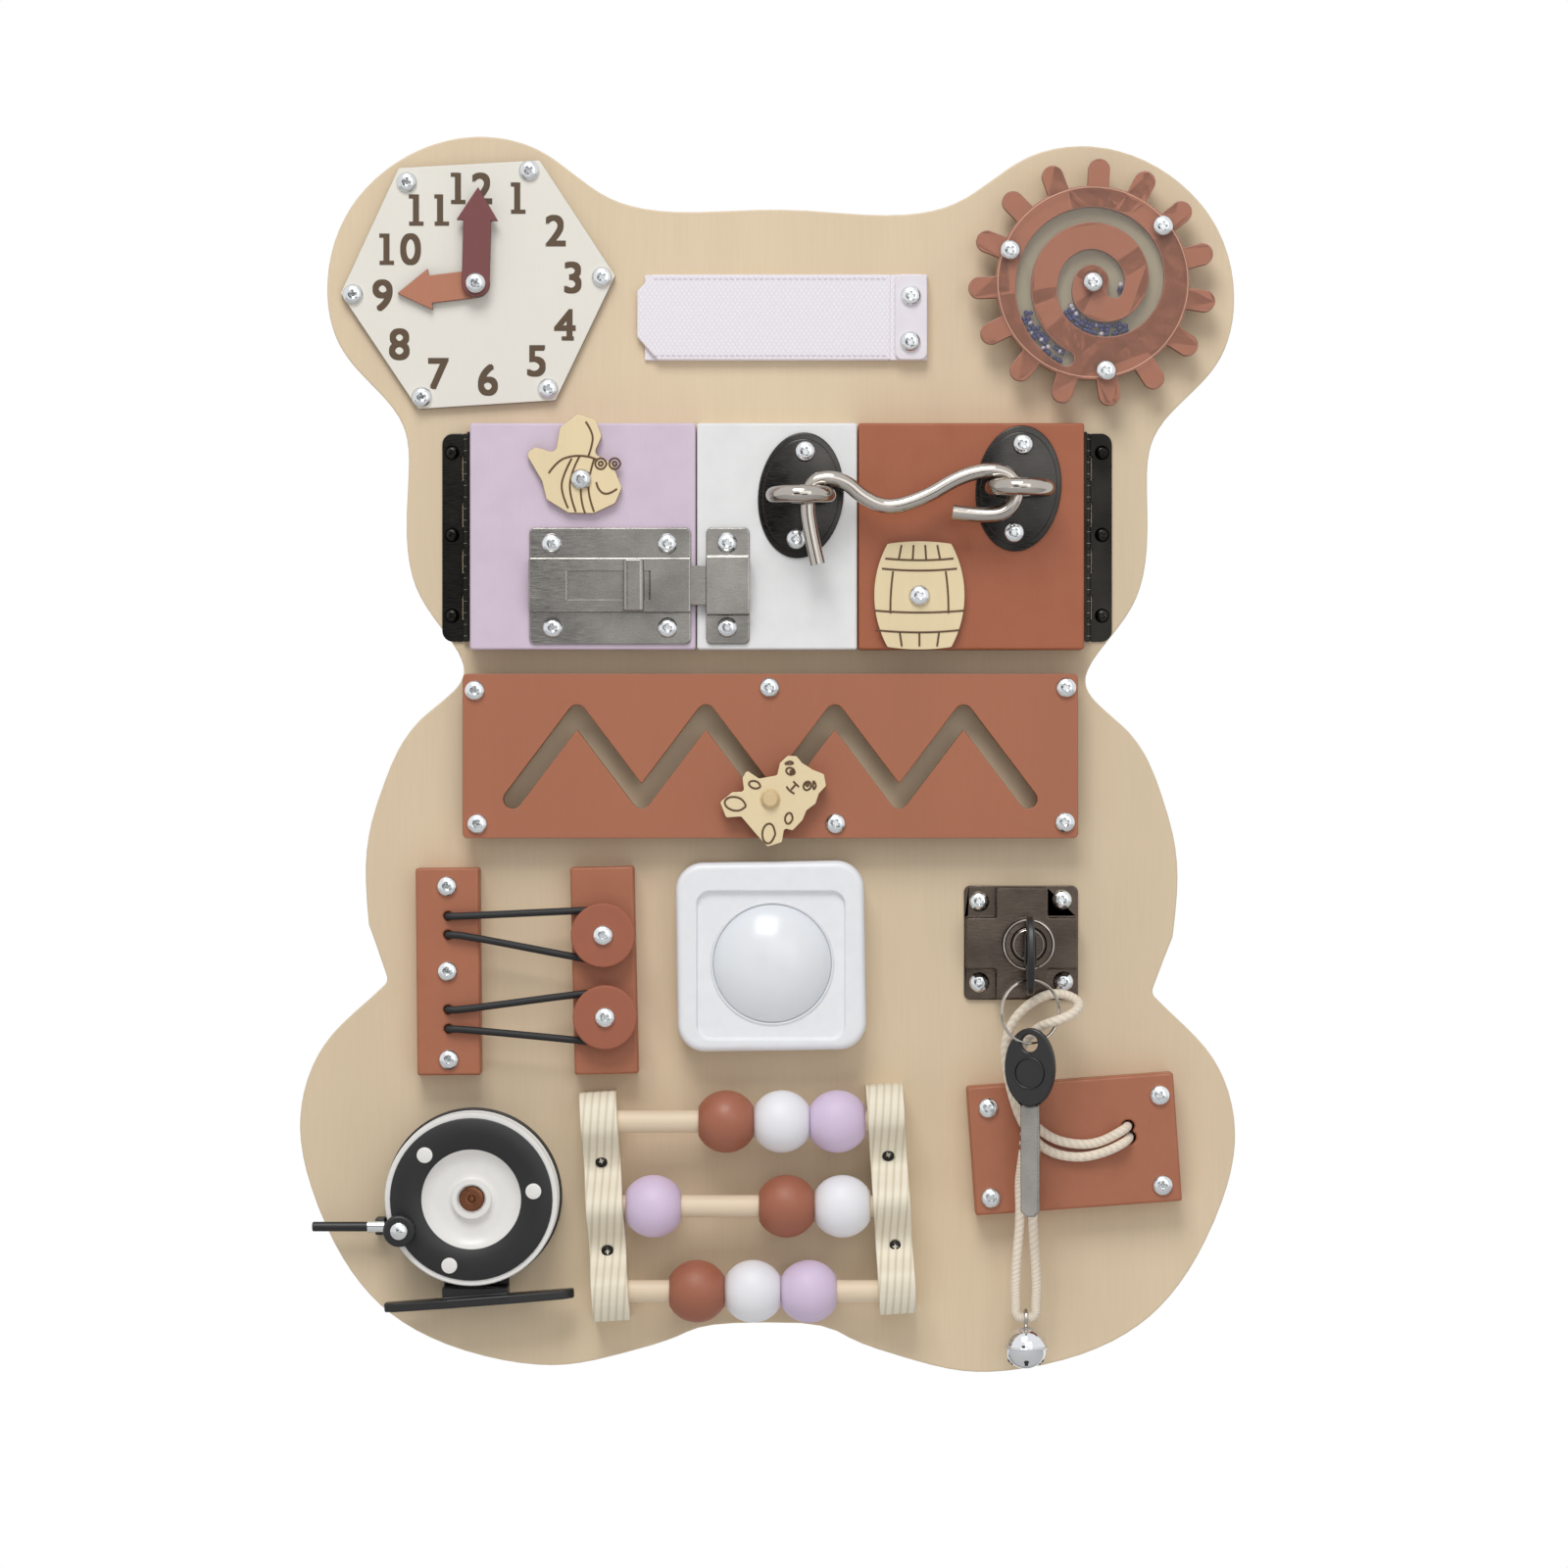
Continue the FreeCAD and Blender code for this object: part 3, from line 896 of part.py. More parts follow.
def make_keys(barrel_face):
    """The key in the plug with its grip folded down, the spare key and the ring that joins them."""
    hole_drop = mm.bow_long / 2 - mm.bow_hole_in
    grip = bow_solid()
    grip.rotate(FreeCAD.Vector(), FreeCAD.Vector(0, 1, 0), 180)
    grip.rotate(FreeCAD.Vector(), FreeCAD.Vector(0, 0, 1), 90)
    grip_z = mm.lock_barrel_z - 3.6
    grip.translate(at(mm.lock_barrel_x, mm.ring_out, grip_z))
    blade = Part.makeBox(mm.blade_thick, mm.ring_out - barrel_face + mm.plug_deep - 8.0, mm.blade_wide,
                         at(mm.lock_barrel_x - mm.blade_thick / 2, mm.ring_out - mm.bow_wide / 2 + 5.0,
                            mm.lock_barrel_z - mm.blade_wide / 2))
    shaped("lock_key", grip.fuse(blade).removeSplitter())
    hole_z = grip_z - hole_drop
    ring_z = hole_z - mm.ring_radius
    turn = math.radians(mm.ring_turn)
    facing = FreeCAD.Vector(math.sin(turn), -math.cos(turn), 0)
    ring = Part.makeTorus(mm.ring_radius, mm.ring_wire, at(mm.lock_barrel_x, mm.ring_out, ring_z), facing)
    shaped("key_ring", ring)
    spare = bow_solid()
    shank = Part.makeBox(mm.blade_wide, mm.blade_thick, mm.blade_long + 4.0,
                         at(-mm.blade_wide / 2, mm.blade_thick / 2, -mm.bow_long / 2 - mm.blade_long))
    shank = shank.makeChamfer(2.0, [edge for edge in shank.Edges
                                    if abs(edge.CenterOfMass.z + mm.bow_long / 2 + mm.blade_long) < 0.001
                                    and edge.Length < mm.blade_thick + 0.001])
    spare = spare.fuse(shank).removeSplitter()
    spare.rotate(FreeCAD.Vector(), FreeCAD.Vector(0, 0, 1), -mm.ring_turn)
    spare.translate(at(mm.lock_barrel_x, mm.ring_out, ring_z - mm.ring_radius - hole_drop))
    shaped("spare_key", spare)
    print("key hole z %.2f, ring bottom z %.2f" % (hole_z, ring_z - mm.ring_radius))


def make_cords_and_bell():
    """The cotton cords on the cord block and the bell that hangs from them."""
    cords = [tube("key cord", [at(*point) for point in KEY_CORD], mm.cord_radius),
             tube("bell cord", [at(*point) for point in BELL_CORD], mm.cord_radius)]
    knot = Part.makeSphere(mm.knot_radius, at((BELL_CORD[0][0] + BELL_CORD[-1][0]) / 2, mm.knot_out, mm.knot_z))
    cords.append(knot)
    shaped("cotton_cords", Part.makeCompound(cords))
    ball = Part.makeSphere(mm.bell_radius, at(mm.bell_x, mm.bell_out, mm.bell_z))
    slot = Part.makeBox(1.6, 30, 7, at(mm.bell_x - 0.8, mm.bell_out + 15, mm.bell_z - mm.bell_radius - 1))
    loop = Part.makeTorus(mm.bell_loop, mm.bell_loop_wire,
                          at(mm.bell_x, mm.bell_out, mm.bell_z + mm.bell_radius + mm.bell_loop - 0.1),
                          FreeCAD.Vector(1, 0, 0))
    shaped("bell", ball.cut(slot).fuse(loop))


def make_reel():
    """The toy reel: a frame with its foot and guide, a spool on an axle and a winding knob."""
    plate_back = board_face
    plate_face = plate_back + mm.reel_plate_thick
    forward = at(0, 1, 0)
    disc = Part.makeCylinder(mm.reel_plate_radius, mm.reel_plate_thick, at(mm.reel_x, plate_back, mm.reel_z), forward)
    axle = Part.makeCylinder(mm.axle_radius, mm.spool_wide - mm.dish_deep - 0.5,
                             at(mm.reel_x, plate_face - 0.5, mm.reel_z), forward)
    spool_back = plate_face + mm.spool_gap
    spool_face = spool_back + mm.spool_wide
    stem_top = mm.reel_z - mm.spool_radius - 1.0
    stem = Part.makeBox(mm.stem_wide, mm.spool_wide + mm.reel_plate_thick - 4.0, stem_top - mm.foot_z,
                        at(mm.reel_x + 1.0 - mm.stem_wide / 2, plate_back + mm.spool_wide + mm.reel_plate_thick - 4.0,
                           mm.foot_z))
    lug = Part.makeBox(mm.stem_wide, mm.reel_plate_thick, mm.spool_radius * 0.4,
                       at(mm.reel_x + 1.0 - mm.stem_wide / 2, plate_face, stem_top - 0.5))
    foot_points = [(-34.0, 5.0), (-30.0, 2.0), (-11.0, 0.0), (11.0, 0.0), (30.0, 2.0), (34.0, 5.0), (34.0, 11.0),
                   (-34.0, 11.0)]
    foot_face = Part.Face(Part.makePolygon(
        [at(x * mm.foot_long / 68.3, board_face + 19.0 - deep, 0) for x, deep in foot_points + foot_points[:1]]))
    foot = foot_face.extrude(FreeCAD.Vector(0, 0, -mm.foot_high))
    foot.rotate(FreeCAD.Vector(), FreeCAD.Vector(0, 1, 0), -4.4)
    foot.translate(FreeCAD.Vector(mm.reel_x + 2.3, 0, mm.foot_z + 1.4))
    arm_x = mm.guide_x + mm.guide_long / 2
    post = Part.makeBox(3.6, 7.0, 6.0, at(arm_x - 3.9, plate_face + 6.0, mm.guide_z - 3.0))
    base = Part.makeBox(24.0, 2.8, 6.0, at(arm_x - 3.9, plate_face - 0.1, mm.guide_z - 3.0))
    guide = Part.makeCylinder(mm.guide_radius, mm.guide_long, at(mm.guide_x - mm.guide_long / 2, plate_face + 5.5,
                                                                 mm.guide_z), FreeCAD.Vector(1, 0, 0))
    shaped("reel_frame", disc.fuse([axle, stem, lug, foot, post, base, guide]).removeSplitter())
    body = doc.addObject("PartDesign::Body", "reel_spool")
    wide, flange = mm.spool_wide, mm.spool_flange
    bore = mm.axle_radius + mm.pivot_gap
    section = [(bore, 0), (mm.spool_radius, 0), (mm.spool_radius, flange), (mm.spool_core, flange),
               (mm.spool_core, wide - flange), (mm.spool_radius, wide - flange), (mm.spool_radius, wide),
               (mm.dish_radius, wide), (mm.dish_radius - 1.5, wide - mm.dish_deep),
               (mm.hub_radius, wide - mm.dish_deep), (mm.hub_radius, wide - 0.6), (mm.hub_bore, wide - 0.6),
               (mm.hub_bore, wide - mm.dish_deep - 0.8), (bore, wide - mm.dish_deep - 0.8)]
    places = [FreeCAD.Vector(r, up, 0) for r, up in section]
    lines = [Part.LineSegment(a, b) for a, b in zip(places, places[1:] + places[:1])]
    sketch = sketch_on(body, "spool_section", "XY_Plane", lines)
    turned = body.newObject("PartDesign::Revolution", "spool_turned")
    turned.Profile = sketch
    turned.ReferenceAxis = (sketch, ["V_Axis"])
    turned.Angle = 360
    body.Placement = FreeCAD.Placement(at(mm.reel_x, spool_back, mm.reel_z),
                                       FreeCAD.Rotation(FreeCAD.Vector(1, 0, 0), 180))
    doc.recompute()
    pin = Part.makeCylinder(mm.shank_radius, mm.knob_long + 0.6, at(mm.knob_x, spool_face - 0.1, mm.knob_z), forward)
    cap = prism(10, mm.small_head_radius, mm.knob_x, mm.knob_z, spool_face + mm.knob_long + 0.4,
                spool_face + mm.knob_long + 1.6, mm.small_head_radius * 0.8)
    spool = body.Shape.fuse([pin, cap]).removeSplitter()
    shaped("reel_spool", spool)
    knob = Part.makeCylinder(mm.knob_radius, mm.knob_long, at(mm.knob_x, spool_face + 0.2, mm.knob_z), forward)
    knob = knob.makeFillet(1.2, [edge for edge in knob.Edges if edge.CenterOfMass.y < -spool_face - 3
                                 and edge.Length > 20])
    hole = Part.makeCylinder(screw_hole, mm.knob_long + 2, at(mm.knob_x, spool_face - 0.5, mm.knob_z), forward)
    shaped("reel_knob", knob.cut(hole))
    return plate_face


def rail_solid(x, z):
    """An abacus rail: a wave of three hills along its front, over the rods' ends."""
    half = mm.rail_tall / 2
    spacing = mm.row_top - mm.row_middle
    points = [(0, -half), (0, half)]
    wave = []
    steps = 12
    hill = mm.rail_valley + mm.rail_wave / 2
    for number in range(steps + 1):
        up = half - 2 * half * number / steps
        level = hill + mm.rail_wave / 2 * math.cos(2 * math.pi * up / spacing)
        wave.append(FreeCAD.Vector(0, -level, up))
    curve = Part.BSplineCurve()
    curve.interpolate(wave)
    corners = [FreeCAD.Vector(0, 0, up) for _, up in points]
    edges = [Part.LineSegment(corners[0], corners[1]).toShape(),
             Part.LineSegment(corners[1], wave[0]).toShape(), curve.toShape(),
             Part.LineSegment(wave[-1], corners[0]).toShape()]
    solid = Part.Face(Part.Wire(edges)).extrude(FreeCAD.Vector(mm.rail_wide, 0, 0))
    solid.translate(FreeCAD.Vector(-mm.rail_wide / 2, 0, 0))
    solid.rotate(FreeCAD.Vector(), FreeCAD.Vector(0, 1, 0), -mm.rail_tilt)
    solid.translate(at(x, board_face, z))
    return solid


def make_abacus():
    """Two wavy rails, three rods let into them and nine beads that slide on the rods."""
    rails = [rail_solid(mm.left_rail_x, mm.left_rail_z), rail_solid(mm.right_rail_x, mm.right_rail_z)]
    bars = []
    for row in (mm.row_top, mm.row_middle, mm.row_bottom):
        lean = math.tan(math.radians(mm.rail_tilt))
        start = mm.left_rail_x + mm.rail_wide / 2 + (mm.left_rail_z - row) * lean - mm.rod_bite
        end = mm.right_rail_x - mm.rail_wide / 2 + (mm.right_rail_z - row) * lean + mm.rod_bite
        bars.append(Part.makeCylinder(mm.rod_radius, end - start, at(start, mm.rod_out, row), FreeCAD.Vector(1, 0, 0)))
        bore = Part.makeCylinder(mm.rod_radius + mm.rod_gap, end - start + 0.6,
                                 at(start - 0.3, mm.rod_out, row), FreeCAD.Vector(1, 0, 0))
        rails = [rail.cut(bore) for rail in rails]
    shaped("abacus_rails", Part.makeCompound(rails))
    shaped("abacus_rods", Part.makeCompound(bars))
    for label, row, x in BEADS:
        outer = rod(label + "_blank", "bead_radius", "bead_long", x - mm.bead_long / 2, mm.rod_out,
                    getattr(mm, row), FreeCAD.Vector(1, 0, 0))
        bore = rod(label + "_bore", "rod_radius + bead_bore_gap", "bead_long + 2", x - mm.bead_long / 2 - 1,
                   mm.rod_out, getattr(mm, row), FreeCAD.Vector(1, 0, 0))
        doc.recompute()
        soft = doc.addObject("Part::Chamfer", label + "_soft")
        soft.Base = outer
        soft.Edges = [(n + 1, mm.bead_edge, mm.bead_edge) for n, edge in enumerate(outer.Shape.Edges)
                      if len(edge.Vertexes) == 1]
        bead = doc.addObject("Part::Cut", label)
        bead.Base = soft
        bead.Tool = bore
        keep(label, bead)


def make_fasteners(reel_face):
    """Every screw of the fixed pieces, the doors and the black ironmongery."""
    bite = mm.bite
    clock_top = board_face + mm.clock_thick
    pivot_top = clock_top + 2 * (mm.hand_thick + mm.turn_gap) + mm.turn_gap
    clamp_top = board_face + mm.strap_base_thick + mm.flap_thick + mm.clamp_thick
    maze_top = (board_face + mm.maze_lift + mm.maze_floor_thick + mm.maze_channel_thick
                + mm.maze_window_thick + 2 * mm.turn_gap)
    seats = [(x, z, clock_top, bite) for x, z in CLOCK_SCREWS]
    seats.append((CLOCK_PIVOT[0], CLOCK_PIVOT[1], pivot_top, pivot_top - board_face + 5.0, True))
    seats += [(x, z, clamp_top, bite) for x, z in CLAMP_SCREWS]
    seats.append((mm.maze_x, mm.maze_z, maze_top, maze_top - board_face + 5.0, True))
    seats += [(x, z, door_face + mm.plate_metal, bite) for x, z in KEEPER_SCREWS]
    seats += [(x, z, door_face + mm.eye_plate_thick, bite) for x, z in LEFT_EYE_SCREWS]
    seats += [(x, z, panel_face, mm.panel_thick + mm.panel_lift + 4.0) for x, z in PANEL_SCREWS]
    seats += [(x, z, painted_face, bite) for x, z in BAND_SCREWS + CORD_SCREWS]
    seats += [(x, z, painted_face + mm.band_neck_high + mm.band_knob_cap, bite * 2) for x, z in BAND_KNOBS]
    seats += [(x, z, board_face + mm.lock_plate_thick, bite) for x, z in LOCK_SCREWS]
    screws("fixed_screws", seats)
    leaf_top = board_face + mm.leaf_thick
    reach = mm.block_wide / 2 + mm.door_gap + mm.door_wide + 2 * mm.knuckle_radius + 0.8 + mm.leaf_wide / 2
    small = (False, mm.small_head_radius, mm.small_head_high)
    black = [(mm.block_middle + side * reach, z, leaf_top, bite, *small)
             for side in (-1, 1) for z in HINGE_SCREW_ROWS]
    valley = board_face + mm.rail_valley
    black += [(x, z, valley, valley - board_face + 4.0, *small) for x, z in RAIL_SCREWS]
    screws("black_screws", black)
    charm_seat = charm_face + mm.turn_gap
    screws("lilac_door_screws", [(x, z, door_face + mm.plate_metal, bite) for x, z in BOLT_SCREWS]
           + [(mm.bee_x, mm.bee_z, charm_seat, mm.charm_thick + bite, True)])
    screws("brown_door_screws", [(x, z, door_face + mm.eye_plate_thick, bite) for x, z in RIGHT_EYE_SCREWS]
           + [(mm.barrel_x, mm.barrel_z, charm_seat, mm.charm_thick + bite, True)])
    print("reel plate face at %.1f" % reel_face)


def write_parts():
    """Check every object and sub-part, then write one STEP file for each node."""
    doc.recompute()
    for thing in doc.Objects:
        if "Invalid" in thing.State or "Error" in thing.State:
            raise RuntimeError("%s has failed" % thing.Label)
    os.makedirs("parts", exist_ok=True)
    for label, thing in NODES.items():
        if thing.Shape.isNull() or not thing.Shape.isValid():
            raise RuntimeError("%s is not a valid shape" % label)
    for label, thing in NODES.items():
        thing.Shape.exportStep("parts/%s.step" % label)
    print("%d nodes, %d solids" % (len(NODES), sum(len(t.Shape.Solids) for t in NODES.values())))


make_board()
make_clock()
make_strap()
make_maze()
make_doors()
make_bolt()
make_hook()
make_charms()
make_zigzag()
make_painted_blocks()
make_band_game()
make_light()
make_keys(make_lock())
make_cords_and_bell()
reel_plate_face = make_reel()
make_abacus()
make_fasteners(reel_plate_face)
write_parts()
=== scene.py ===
import json
import math
import random

import bmesh
import bpy
from mathutils import Euler, Matrix, Vector


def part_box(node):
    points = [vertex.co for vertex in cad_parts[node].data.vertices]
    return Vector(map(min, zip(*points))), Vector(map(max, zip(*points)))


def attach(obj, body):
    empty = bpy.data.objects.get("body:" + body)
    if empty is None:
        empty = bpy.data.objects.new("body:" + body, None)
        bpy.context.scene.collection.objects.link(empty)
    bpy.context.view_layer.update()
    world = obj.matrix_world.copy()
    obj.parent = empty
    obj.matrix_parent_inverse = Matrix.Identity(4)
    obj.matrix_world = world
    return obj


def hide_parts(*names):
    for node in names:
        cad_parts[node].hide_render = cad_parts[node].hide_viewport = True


bl_info = {
    "name": "Bear busy board",
    "version": (1, 0, 0),
    "blender": (4, 5, 0),
    "location": "View3D > Sidebar > Busy board",
    "description": "Dresses the bear-shaped wooden activity board with its finishes and fine detail",
    "category": "Object",
}

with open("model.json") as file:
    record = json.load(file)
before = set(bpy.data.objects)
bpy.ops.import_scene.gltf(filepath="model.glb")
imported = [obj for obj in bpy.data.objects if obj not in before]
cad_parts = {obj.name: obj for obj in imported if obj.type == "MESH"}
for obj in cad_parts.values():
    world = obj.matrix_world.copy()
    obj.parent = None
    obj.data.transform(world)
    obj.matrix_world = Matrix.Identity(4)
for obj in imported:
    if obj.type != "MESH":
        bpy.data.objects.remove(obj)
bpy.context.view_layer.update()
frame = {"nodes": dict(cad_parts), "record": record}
NODES = frame["nodes"]
BODY_OF = {node: body for body, nodes in frame["record"]["behaviour"]["bodies"].items() for node in nodes}

# Routes of the cords and rods as (x, out, z) in millimetres, where out is the distance from the wall.
KEY_CORD = [
    (129.9, 15.0, -137.2), (129.9, 23.2, -137.2), (126.0, 26.8, -139.8), (119.5, 24.6, -142.8),
    (111.5, 24.2, -144.4), (102.5, 24.3, -143.0), (96.0, 24.8, -138.8), (90.8, 25.4, -131.2),
    (87.5, 26.8, -121.8), (85.3, 28.6, -111.0), (84.8, 30.4, -102.6), (87.5, 31.6, -94.8),
    (93.3, 32.2, -88.8), (100.6, 31.2, -85.2), (107.2, 31.4, -85.6), (111.6, 35.0, -88.6),
    (109.2, 41.0, -91.8), (103.0, 43.0, -94.4), (96.6, 38.0, -96.6), (91.8, 34.0, -102.0),
    (88.2, 31.2, -110.5), (88.6, 28.6, -120.6), (92.2, 26.6, -129.0), (98.0, 25.2, -135.0),
    (104.6, 24.4, -138.6), (113.6, 24.2, -139.8), (120.0, 24.6, -138.4), (125.6, 26.8, -135.2),
    (129.3, 23.2, -133.2), (129.3, 15.0, -133.2),
]
BELL_CORD = [
    (91.5, 30.0, -141.35), (90.8, 28.8, -147.0), (90.0, 26.4, -153.0), (90.6, 25.4, -166.0),
    (89.2, 24.6, -180.0), (88.8, 24.2, -190.0), (88.9, 24.0, -196.0), (89.0, 24.0, -201.6),
    (96.0, 24.0, -201.6), (96.1, 24.0, -196.0), (96.4, 24.2, -190.0), (95.8, 24.6, -180.0),
    (94.8, 25.4, -166.0), (95.4, 26.4, -153.0), (95.4, 28.8, -147.0), (95.1, 30.0, -141.35),
]
# The arch between the board's legs from right to left as (x, z), and the patch it is made in.
SEAT_REACH, SEAT_TOP = 45.0, -200.0
SEAT_ARCH = [
    (39.5, -214.2), (34.0, -212.2), (29.6, -210.2), (25.2, -207.8), (19.4, -205.9), (12.0, -204.9),
    (0.0, -204.7), (-12.0, -204.9), (-19.4, -205.5), (-25.0, -206.6), (-29.0, -208.1), (-32.5, -209.7),
    (-36.2, -211.1), (-41.8, -212.9),
]
# Points nearer than this are one point, a point this near a cut lies on it, and a face whose normal
# reaches this far out of the wall is level with the wall.
ONE_POINT, ON_CUT, LEVEL = 2e-6, 1e-5, 0.999
HOOK_ROUTE = [
    (18.0, 67.5), (15.6, 78.0), (14.1, 88.0), (15.3, 96.7), (21.6, 98.7), (28.6, 96.6), (33.8, 91.5),
    (43.0, 87.2), (56.4, 91.4), (68.0, 98.6), (78.6, 101.4), (86.6, 99.8), (89.4, 93.0), (85.6, 86.0),
    (77.0, 84.6), (66.0, 86.2),
]
HOOK_OUT = 35.8
BAND_HOLES = [(-114.4, -57.9), (-114.4, -64.6), (-114.4, -91.4), (-114.2, -98.3)]
BAND_KNOBS = [(-58.6, -64.6), (-57.9, -93.9)]
NUMERALS = [
    ("12", -107.0, 203.7), ("1", -90.0, 200.2), ("2", -76.2, 188.5), ("3", -69.9, 171.6),
    ("4", -72.7, 154.6), ("5", -83.0, 141.6), ("6", -100.6, 134.8), ("7", -118.6, 137.0),
    ("8", -132.4, 147.6), ("9", -138.4, 165.2), ("10", -132.7, 181.8), ("11", -122.1, 195.9),
]
NUMERAL_BOLD = 0.34
# Square feet and caps of the figures that have them, as (across, up, width) from the figure's middle.
SERIFS = {"1": ((0.4, -4.9, 5.2), (-0.9, 4.9, 2.8)), "4": ((0.9, -4.9, 4.4),), "7": ((0.0, 4.9, 6.2),),
          "2": ((0.0, -4.9, 6.2),), "5": ((0.2, 4.9, 5.6),)}
# The maze's channel as (turn in degrees, distance of its middle line), and the rows of seeds in it.
SPIRAL = [(-20, 8.4), (35, 8.8), (90, 9.2), (135, 9.3), (180, 9.8), (225, 12.3), (270, 16.0), (315, 19.9),
          (360, 22.8), (405, 24.0), (450, 24.4), (495, 24.4), (540, 24.8), (580, 26.6), (611, 28.8)]
SEED_PILES = [(226, 308, 66), (564, 608, 40), (-16, -4, 3)]
MAZE = (116.6, 169.1)
REEL = (-105.6, -158.8)
BEE = (-66.5, 98.3)
BARREL = (54.4, 56.8)
BEAR = (1.1, -16.05)


ROOM_LIGHT = 0.3


def tint(red, green, blue):
    """A colour as it is seen, from 0 to 255, in the linear values that shaders take."""
    def linear(value):
        value /= 255
        return value / 12.92 if value <= 0.04045 else ((value + 0.055) / 1.055) ** 2.4

    return (linear(red), linear(green), linear(blue), 1.0)


def at(x, out, z):
    """A point in metres from its place across, out from the wall and up, in millimetres."""
    return Vector((x / 1000, -out / 1000, z / 1000))


def colour(name, shown):
    """A colour property for the sidebar."""
    return bpy.props.FloatVectorProperty(
        name=name, description="Colour of the " + name.lower(), subtype="COLOR", size=4, min=0, max=1,
        default=tint(*shown))


def size(name, words, value):
    """A length property for the sidebar, in metres."""
    return bpy.props.FloatProperty(name=name, description=words, default=value, unit="LENGTH", min=0)


class BoardColours(bpy.types.PropertyGroup):
    """Colours that someone who dresses the board would change."""

    birch: colour("Birch plywood", (228, 207, 175))
    clock: colour("Clock plate", (232, 228, 218))
    terracotta: colour("Terracotta stain", (170, 104, 74))
    hour: colour("Hour hand", (184, 120, 92))
    minute: colour("Minute hand", (118, 62, 62))
    lilac: colour("Lilac paint", (214, 196, 213))
    brown: colour("Brown paint", (164, 92, 60))
    white: colour("White paint", (234, 234, 234))
    cotton: colour("Cotton cord", (246, 232, 212))


class BoardSizes(bpy.types.PropertyGroup):
    """Sizes of the fine detail."""

    edge: size("Board edge", "Rounding of the plywood board's edges", 0.0005)
    worn: size("Sanded edge", "Rounding of the sanded and painted blocks", 0.0008)
    arris: size("Cut edge", "Softening of cut wooden edges", 0.0003)
    pressed: size("Pressed edge", "Rounding of pressed metal edges", 0.00045)
    cord: size("Cord thickness", "Diameter of the cotton cord", 0.0034)
    elastic: size("Elastic thickness", "Diameter of the elastic bands", 0.0026)
    burn: size("Burnt line", "Width of the lines burnt in the wooden figures", 0.00045)


def colours():
    return bpy.context.scene.board_colours


def sizes():
    return bpy.context.scene.board_sizes


# ---- shader groups ----

def group(name, inputs, outputs):
    """A shader node group with named sockets, made once."""
    tree = bpy.data.node_groups.new(name, "ShaderNodeTree")
    for label, kind, value in inputs:
        socket = tree.interface.new_socket(label, in_out="INPUT", socket_type="NodeSocket" + kind)
        if value is not None:
            socket.default_value = value
    for label, kind in outputs:
        tree.interface.new_socket(label, in_out="OUTPUT", socket_type="NodeSocket" + kind)
    return tree, tree.nodes.new("NodeGroupInput"), tree.nodes.new("NodeGroupOutput")


def stretched_noise(tree, vector, scale, detail, stretch):
    """Noise drawn out along one direction."""
    mapping = tree.nodes.new("ShaderNodeMapping")
    mapping.inputs["Scale"].default_value = stretch
    noise = tree.nodes.new("ShaderNodeTexNoise")
    noise.inputs["Scale"].default_value = scale
    noise.inputs["Detail"].default_value = detail
    tree.links.new(vector, mapping.inputs["Vector"])
    tree.links.new(mapping.outputs["Vector"], noise.inputs["Vector"])
    return noise.outputs["Fac"]


def mixed(tree, factor, first, second):
    """One colour blended into another."""
    mix = tree.nodes.new("ShaderNodeMix")
    mix.data_type = "RGBA"
    for value, socket in ((factor, mix.inputs[0]), (first, mix.inputs[6]), (second, mix.inputs[7])):
        if isinstance(value, bpy.types.NodeSocket):
            tree.links.new(value, socket)
        else:
            socket.default_value = value
    return mix.outputs[2]


def ranged(tree, value, low, high, to_low, to_high):
    """A value carried from one range to another."""
    node = tree.nodes.new("ShaderNodeMapRange")
    for label, number in (("From Min", low), ("From Max", high), ("To Min", to_low), ("To Max", to_high)):
        node.inputs[label].default_value = number
    tree.links.new(value, node.inputs["Value"])
    return node.outputs["Result"]


def grain_group():
    """Plywood face: long soft bands with fine fibres."""
    name = "Plywood grain"
    if name in bpy.data.node_groups:
        return bpy.data.node_groups[name]
    tree, given, made = group(name, [("Vector", "Vector", None), ("Wood", "Color", (1, 1, 1, 1)),
                                     ("Grain", "Color", (0.5, 0.4, 0.3, 1)), ("Strength", "Float", 0.3)],
                              [("Color", "Color"), ("Height", "Float")])
    bands = stretched_noise(tree, given.outputs["Vector"], 26, 4, (1.0, 1.0, 0.14))
    fibres = stretched_noise(tree, given.outputs["Vector"], 900, 3, (1.0, 1.0, 0.05))
    both = tree.nodes.new("ShaderNodeMath")
    both.operation = "MULTIPLY_ADD"
    tree.links.new(fibres, both.inputs[0])
    both.inputs[1].default_value = 0.45
    tree.links.new(ranged(tree, bands, 0.3, 0.7, 0.0, 0.55), both.inputs[2])
    strong = tree.nodes.new("ShaderNodeMath")
    strong.operation = "MULTIPLY"
    tree.links.new(both.outputs[0], strong.inputs[0])
    tree.links.new(given.outputs["Strength"], strong.inputs[1])
    tree.links.new(mixed(tree, strong.outputs[0], given.outputs["Wood"], given.outputs["Grain"]),
                   made.inputs["Color"])
    tree.links.new(fibres, made.inputs["Height"])
    return tree


